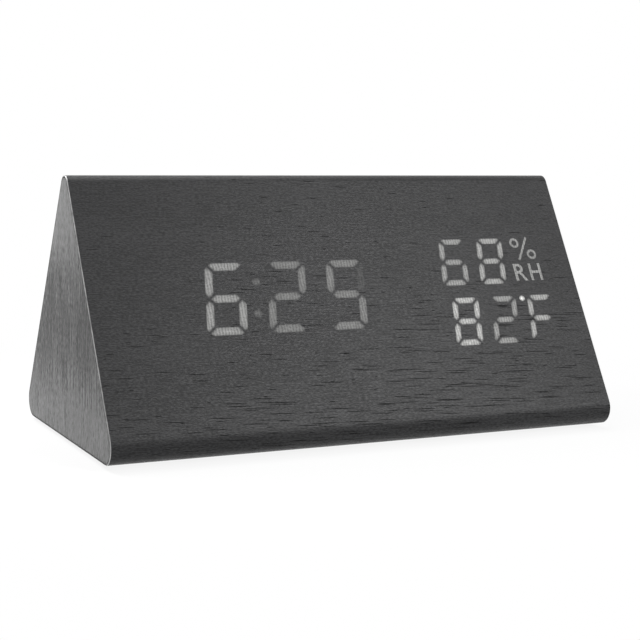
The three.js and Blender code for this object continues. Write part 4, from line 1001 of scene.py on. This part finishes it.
def lathe(bm, half_section, steps=48):
    """Spins a half section of (radius, height) points once round Z."""
    points = [bm.verts.new((radius, 0, height)) for radius, height in half_section]
    edges = [bm.edges.new(pair) for pair in zip(points, points[1:])]
    bmesh.ops.spin(
        bm, geom=points + edges, cent=(0, 0, 0), axis=(0, 0, 1), angle=2 * math.pi, steps=steps,
        use_merge=True)
    bmesh.ops.remove_doubles(bm, verts=bm.verts, dist=WELD / MM)


def node_place(name, face_frame):
    """Where a node's middle lies on a face, in mm across and up."""
    low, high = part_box(name)
    return face_frame.inverted() @ ((low + high) / 2)


print("flat drawings are", round(1 / MM), "times as large as the clock")

# %% [markdown]
# ## Feet
#
# Four die-cut foam discs keep the film off the table. Foam bulges a little when it is cut, so the
# half section has a rounded lower edge and a soft upper one.

# %% Foot pads
PAD_RADIUS, PAD_HEIGHT = 5.0, 1.0
PAD_SECTION = [
    (0, 0), (PAD_RADIUS - 0.45, 0), (PAD_RADIUS - 0.2, 0.07), (PAD_RADIUS - 0.05, 0.25), (PAD_RADIUS, 0.5),
    (PAD_RADIUS - 0.03, 0.8), (PAD_RADIUS - 0.12, PAD_HEIGHT), (0, PAD_HEIGHT),
]
for node in [name for name in slots if name.startswith("foot_pad")]:
    pad = bmesh.new()
    lathe(pad, PAD_SECTION)
    at = node_place(node, shrink)
    piece = hand_over(f"{node}_disc", pad, node, shrink @ Matrix.Translation((at.x, at.y, 0)))

# %% [markdown]
# ## Rear panel
#
# The control panel is one black moulding, sunk flush into the rear slope. It has a shallow dish with
# three key holes, a power inlet, a pinhole for sound, three air slots for the humidity sensor and
# four countersunk holes. It is drawn as loops: the rim is rounded in three steps, the dish floor is
# filled round the key holes, and each hole is sunk through to the back.

# %% Rear panel
PANEL, PANEL_FACE, PANEL_BACK = (84.0, 26.0, 4.0), -0.2, -2.2
PANEL_RIM = ((0.0, 0.4), (0.12, 0.12), (0.4, 0.0))
KEY_PLACES, KEY_HOLE = {"set": -24.0, "up": -11.0, "down": 2.0}, 3.75
DISH, DISH_FLOOR, DISH_SLOPE = (37.0, 11.0, 5.49), -0.7, 0.5
INLET, INLET_ACROSS, INLET_CHAMFER = (9.54, 3.86, 1.83), 19.0, 0.3
SOUND_ACROSS, SOUND_RADIUS = 10.5, 0.6
SLOT, SLOT_PLACES = (1.0, 8.0, 0.49), (26.0, 28.0, 30.0)
SCREW_PLACES = [(x, PANEL_UP + y) for x in (-39.0, 39.0) for y in (-10.0, 10.0)]
SINK_RADIUS, SINK_FOOT, SINK_DEPTH = 2.25, 1.1, 1.25
BOSS_PLACES, BOSS_RADIUS, BOSS_END, PILOT_RADIUS, PILOT_END = (-34.0, 34.0), 2.3, -7.3, 0.95, -4.3

panel = bmesh.new()
back = rounded_outline(panel, 0, PANEL_UP, PANEL, PANEL_BACK)
rim = [rounded_outline(panel, 0, PANEL_UP, PANEL, PANEL_FACE - depth, less) for less, depth in PANEL_RIM]
wall(panel, back, *rim)
dish = rounded_outline(panel, KEY_PLACES["up"], PANEL_UP, DISH, PANEL_FACE)
dish_foot = rounded_outline(panel, KEY_PLACES["up"], PANEL_UP, DISH, DISH_FLOOR, DISH_SLOPE)
wall(panel, dish, dish_foot)
keys = [round_outline(panel, across, PANEL_UP, KEY_HOLE, DISH_FLOOR) for across in KEY_PLACES.values()]
fill(panel, dish_foot, *keys)
mouth = rounded_outline(panel, INLET_ACROSS, PANEL_UP, INLET, PANEL_FACE, -INLET_CHAMFER)
inlet = rounded_outline(panel, INLET_ACROSS, PANEL_UP, INLET, PANEL_FACE - INLET_CHAMFER)
wall(panel, mouth, inlet)
sound = round_outline(panel, SOUND_ACROSS, PANEL_UP, SOUND_RADIUS, PANEL_FACE, sides=24)
slits = [rounded_outline(panel, across, PANEL_UP, SLOT, PANEL_FACE) for across in SLOT_PLACES]
sinks = [round_outline(panel, across, up, SINK_RADIUS, PANEL_FACE) for across, up in SCREW_PLACES]
fill(panel, rim[-1], dish, mouth, sound, *slits, *sinks)
sink_feet = [sink(panel, loop, PANEL_FACE - SINK_DEPTH, SINK_FOOT / SINK_RADIUS) for loop in sinks]
through = [sink(panel, loop, PANEL_BACK) for loop in [*keys, inlet, sound, *slits, *sink_feet]]
bosses = [
    round_outline(panel, across, PANEL_UP, BOSS_RADIUS, PANEL_BACK, sides=32) for across in BOSS_PLACES]
fill(panel, back, *through, *bosses)
for across, boss in zip(BOSS_PLACES, bosses):
    pilot = round_outline(panel, across, PANEL_UP, PILOT_RADIUS, BOSS_END, sides=24)
    fill(panel, sink(panel, boss, BOSS_END), pilot)
    fill(panel, sink(panel, pilot, PILOT_END))
print("open edges in the panel:", len(open_edges(panel)))
hand_over("rear_panel_moulding", panel, "rear_panel", rear_face)

# %% [markdown]
# ## Keys
#
# Each key is a round cap with a shallow finger dish, a rounded rim and a flange that keeps it behind
# the panel. It is a body of revolution, and it rides on its own body.

# %% Keys
KEY_SECTION = [
    (0, -0.10), (1.3, -0.07), (2.3, 0.02), (2.8, 0.09), (3.05, 0.1), (3.28, 0.05), (3.43, -0.08),
    (3.5, -0.3), (3.5, -2.4), (4.7, -2.4), (4.7, -3.1), (0, -3.1),
]
for key, across in KEY_PLACES.items():
    cap = bmesh.new()
    lathe(cap, KEY_SECTION, steps=64)
    place = rear_face @ Matrix.Translation((across, PANEL_UP, 0))
    hand_over(f"{key}_key_cap", cap, f"{key}_button", place, body=f"{key}_key")

# %% [markdown]
# ## Screws
#
# The panel and the battery tray are held by small countersunk screws with a cross recess. A grid of
# nine faces without its corners makes the cross. It is extruded inwards and tapered, the head is
# filled round it, and loops taken down from the rim make the cone, the shank and the point.

# %% Countersunk screws
HEAD_RADIUS, SHANK_RADIUS = 2.1, 0.95
HEAD_RIM, HEAD_DEPTH, SHANK_END, POINT_END = -0.1, -1.2, -4.2, -5.0
CROSS_REACH, CROSS_HALF, CROSS_DEPTH, CROSS_TAPER = 1.1, 0.25, 0.6, 0.75
POINT_TAPER, PANEL_SEAT, TRAY_SEAT = 0.2, -0.3, 0.5


def countersunk_screw(node, place):
    bm = bmesh.new()
    for vert in bmesh.ops.create_grid(bm, x_segments=3, y_segments=3, size=CROSS_REACH)["verts"]:
        for axis in (0, 1):
            if abs(vert.co[axis]) < CROSS_REACH / 2:
                vert.co[axis] = math.copysign(CROSS_HALF, vert.co[axis])
    corners = [face for face in bm.faces if min(map(abs, face.calc_center_median()[:2])) > CROSS_HALF]
    bmesh.ops.delete(bm, geom=corners, context="FACES")
    cross = open_edges(bm)
    mouth = list(bm.faces)
    floor_verts = verts_in(bmesh.ops.extrude_face_region(bm, geom=mouth)["geom"])
    bmesh.ops.delete(bm, geom=[face for face in mouth if face.is_valid], context="FACES")
    bmesh.ops.scale(bm, vec=(CROSS_TAPER, CROSS_TAPER, 1), verts=floor_verts)
    bmesh.ops.translate(bm, vec=(0, 0, -CROSS_DEPTH), verts=floor_verts)
    rim = round_outline(bm, 0, 0, HEAD_RADIUS, 0, sides=40)
    fill(bm, rim, [edge for edge in cross if edge.is_valid])
    cone = sink(bm, sink(bm, rim, HEAD_RIM), HEAD_DEPTH, SHANK_RADIUS / HEAD_RADIUS)
    fill(bm, sink(bm, sink(bm, cone, SHANK_END), POINT_END, POINT_TAPER))
    hand_over(f"{node}_cross_head", bm, node, place)


for number in range(1, 5):
    at = node_place(f"panel_screw_{number}", rear_face)
    countersunk_screw(f"panel_screw_{number}", rear_face @ Matrix.Translation((at.x, at.y, PANEL_SEAT)))
    at = node_place(f"tray_screw_{number}", base_face)
    turned = Matrix.Translation((at.x, at.y, TRAY_SEAT)) @ Matrix.Rotation(math.pi, 4, "X")
    countersunk_screw(f"tray_screw_{number}", base_face @ turned)

# %% [markdown]
# ## Power inlet
#
# The inlet is a drawn steel shell round a plastic tongue with two rows of small contacts. The shell
# is one closed tube of bridged loops with a rounded mouth. The contacts are thin gilded strips.

# %% Inlet shell and tongue
SHELL, SHELL_WALL, SHELL_BACK, SHELL_MOUTH = (8.94, 3.26, 1.53), 0.3, -7.3, -0.5
SHELL_STEPS = (
    (0, SHELL_BACK), (0, SHELL_MOUTH - 0.15), (0.06, SHELL_MOUTH - 0.03), (0.15, SHELL_MOUTH),
    (0.24, SHELL_MOUTH - 0.03), (SHELL_WALL, SHELL_MOUTH - 0.15), (SHELL_WALL, SHELL_BACK),
)
PLUG_FIT, TONGUE_ROOT, TONGUE_TIP, NOSE_LENGTH = 0.02, -5.8, -1.4, 0.2
TONGUE, NOSE = (6.6, 0.7, 0.15), (6.36, 0.46, 0.15)
CONTACT_COUNT, CONTACT_PITCH, CONTACT_FROM_TIP, CONTACT_SIZE = 12, 0.5, 1.9, (0.26, 0.04, 3.0)
# a flash of gold over copper: warm yellow metal
gilt = drifting("copper, gilded", "#c79a3a", "#d8b45c", 0.3, 0.3, metal=1.0)

shell = bmesh.new()
tube = [rounded_outline(shell, INLET_ACROSS, PANEL_UP, SHELL, depth, less) for less, depth in SHELL_STEPS]
wall(shell, *tube, tube[0])
hand_over("inlet_shell", shell, "usb_shell", rear_face)

tongue = bmesh.new()
plug = [
    rounded_outline(tongue, INLET_ACROSS, PANEL_UP, SHELL, depth, SHELL_WALL + PLUG_FIT)
    for depth in (SHELL_BACK, TONGUE_ROOT)
]
blade = [
    rounded_outline(tongue, INLET_ACROSS, PANEL_UP, size, depth)
    for size, depth in ((TONGUE, TONGUE_ROOT), (TONGUE, TONGUE_TIP - NOSE_LENGTH), (NOSE, TONGUE_TIP))
]
wall(tongue, *plug, *blade)
fill(tongue, plug[0])
fill(tongue, blade[-1])
for at in range(CONTACT_COUNT):
    across = INLET_ACROSS + (at - (CONTACT_COUNT - 1) / 2) * CONTACT_PITCH
    for up in (PANEL_UP - TONGUE[1] / 2, PANEL_UP + TONGUE[1] / 2):
        place = Matrix.LocRotScale((across, up, TONGUE_TIP - CONTACT_FROM_TIP), None, CONTACT_SIZE)
        strip = bmesh.ops.create_cube(tongue, size=1.0, matrix=place)
        for face in {face for vert in strip["verts"] for face in vert.link_faces}:
            face.material_index = 1
hand_over("inlet_tongue", tongue, "usb_tongue", rear_face, finishes=[FINISHES["black_epoxy"], gilt])

# %% [markdown]
# ## Battery springs
#
# Each cell is pressed by a conical spring of plated wire. A small circle is spun round the axis with
# a step forward at each turn: first a nearly flat turn that lies on the contact, then three open
# ones. Moving each point inwards by its height narrows the coil and leaves the wire round.

# %% Battery springs
WIRE_RADIUS, COIL_RADIUS, COIL_TIP = 0.3, 3.6, 2.4
FLAT_TURN, COIL_END, OPEN_TURNS, TURN_STEPS = 0.75, 6.6, 3, 36
CELL_ACROSS, CELL_UP = 5.45, 8.6


def battery_spring(node, way):
    bm = bmesh.new()
    start = Matrix.Translation((COIL_RADIUS, 0, WIRE_RADIUS)) @ Matrix.Rotation(math.pi / 2, 4, "X")
    bmesh.ops.create_circle(bm, segments=12, radius=WIRE_RADIUS, matrix=start)
    geom = bm.verts[:] + bm.edges[:]
    for turns, rise in ((1, FLAT_TURN), (OPEN_TURNS, COIL_END - FLAT_TURN)):
        steps = turns * TURN_STEPS
        geom = bmesh.ops.spin(
            bm, geom=geom, cent=(0, 0, 0), axis=(0, 0, 1), dvec=(0, 0, rise / steps),
            angle=2 * math.pi * turns, steps=steps)["geom_last"]
    bmesh.ops.holes_fill(bm, edges=open_edges(bm))
    for vert in bm.verts:
        around = Vector((vert.co.x, vert.co.y, 0))
        lift = min(max((vert.co.z - FLAT_TURN) / (COIL_END - FLAT_TURN), 0), 1)
        vert.co -= around.normalized() * (COIL_RADIUS - COIL_TIP) * lift
    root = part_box(node)[0 if way > 0 else 1].x / MM
    place = Matrix.Translation((root, -way * CELL_ACROSS, CELL_UP))
    turn = Matrix.Rotation(way * math.pi / 2, 4, "Y")
    hand_over(f"{node}_coil", bm, node, base_face @ place @ turn)


battery_spring("negative_spring", 1)
battery_spring("bridge_spring", -1)

# %% [markdown]
# ## Size
#
# The box of the dressed clock is printed, to show its size.

# %% Finish
low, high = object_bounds()
print("dressed clock in mm:", [round(side / MM, 2) for side in high - low])
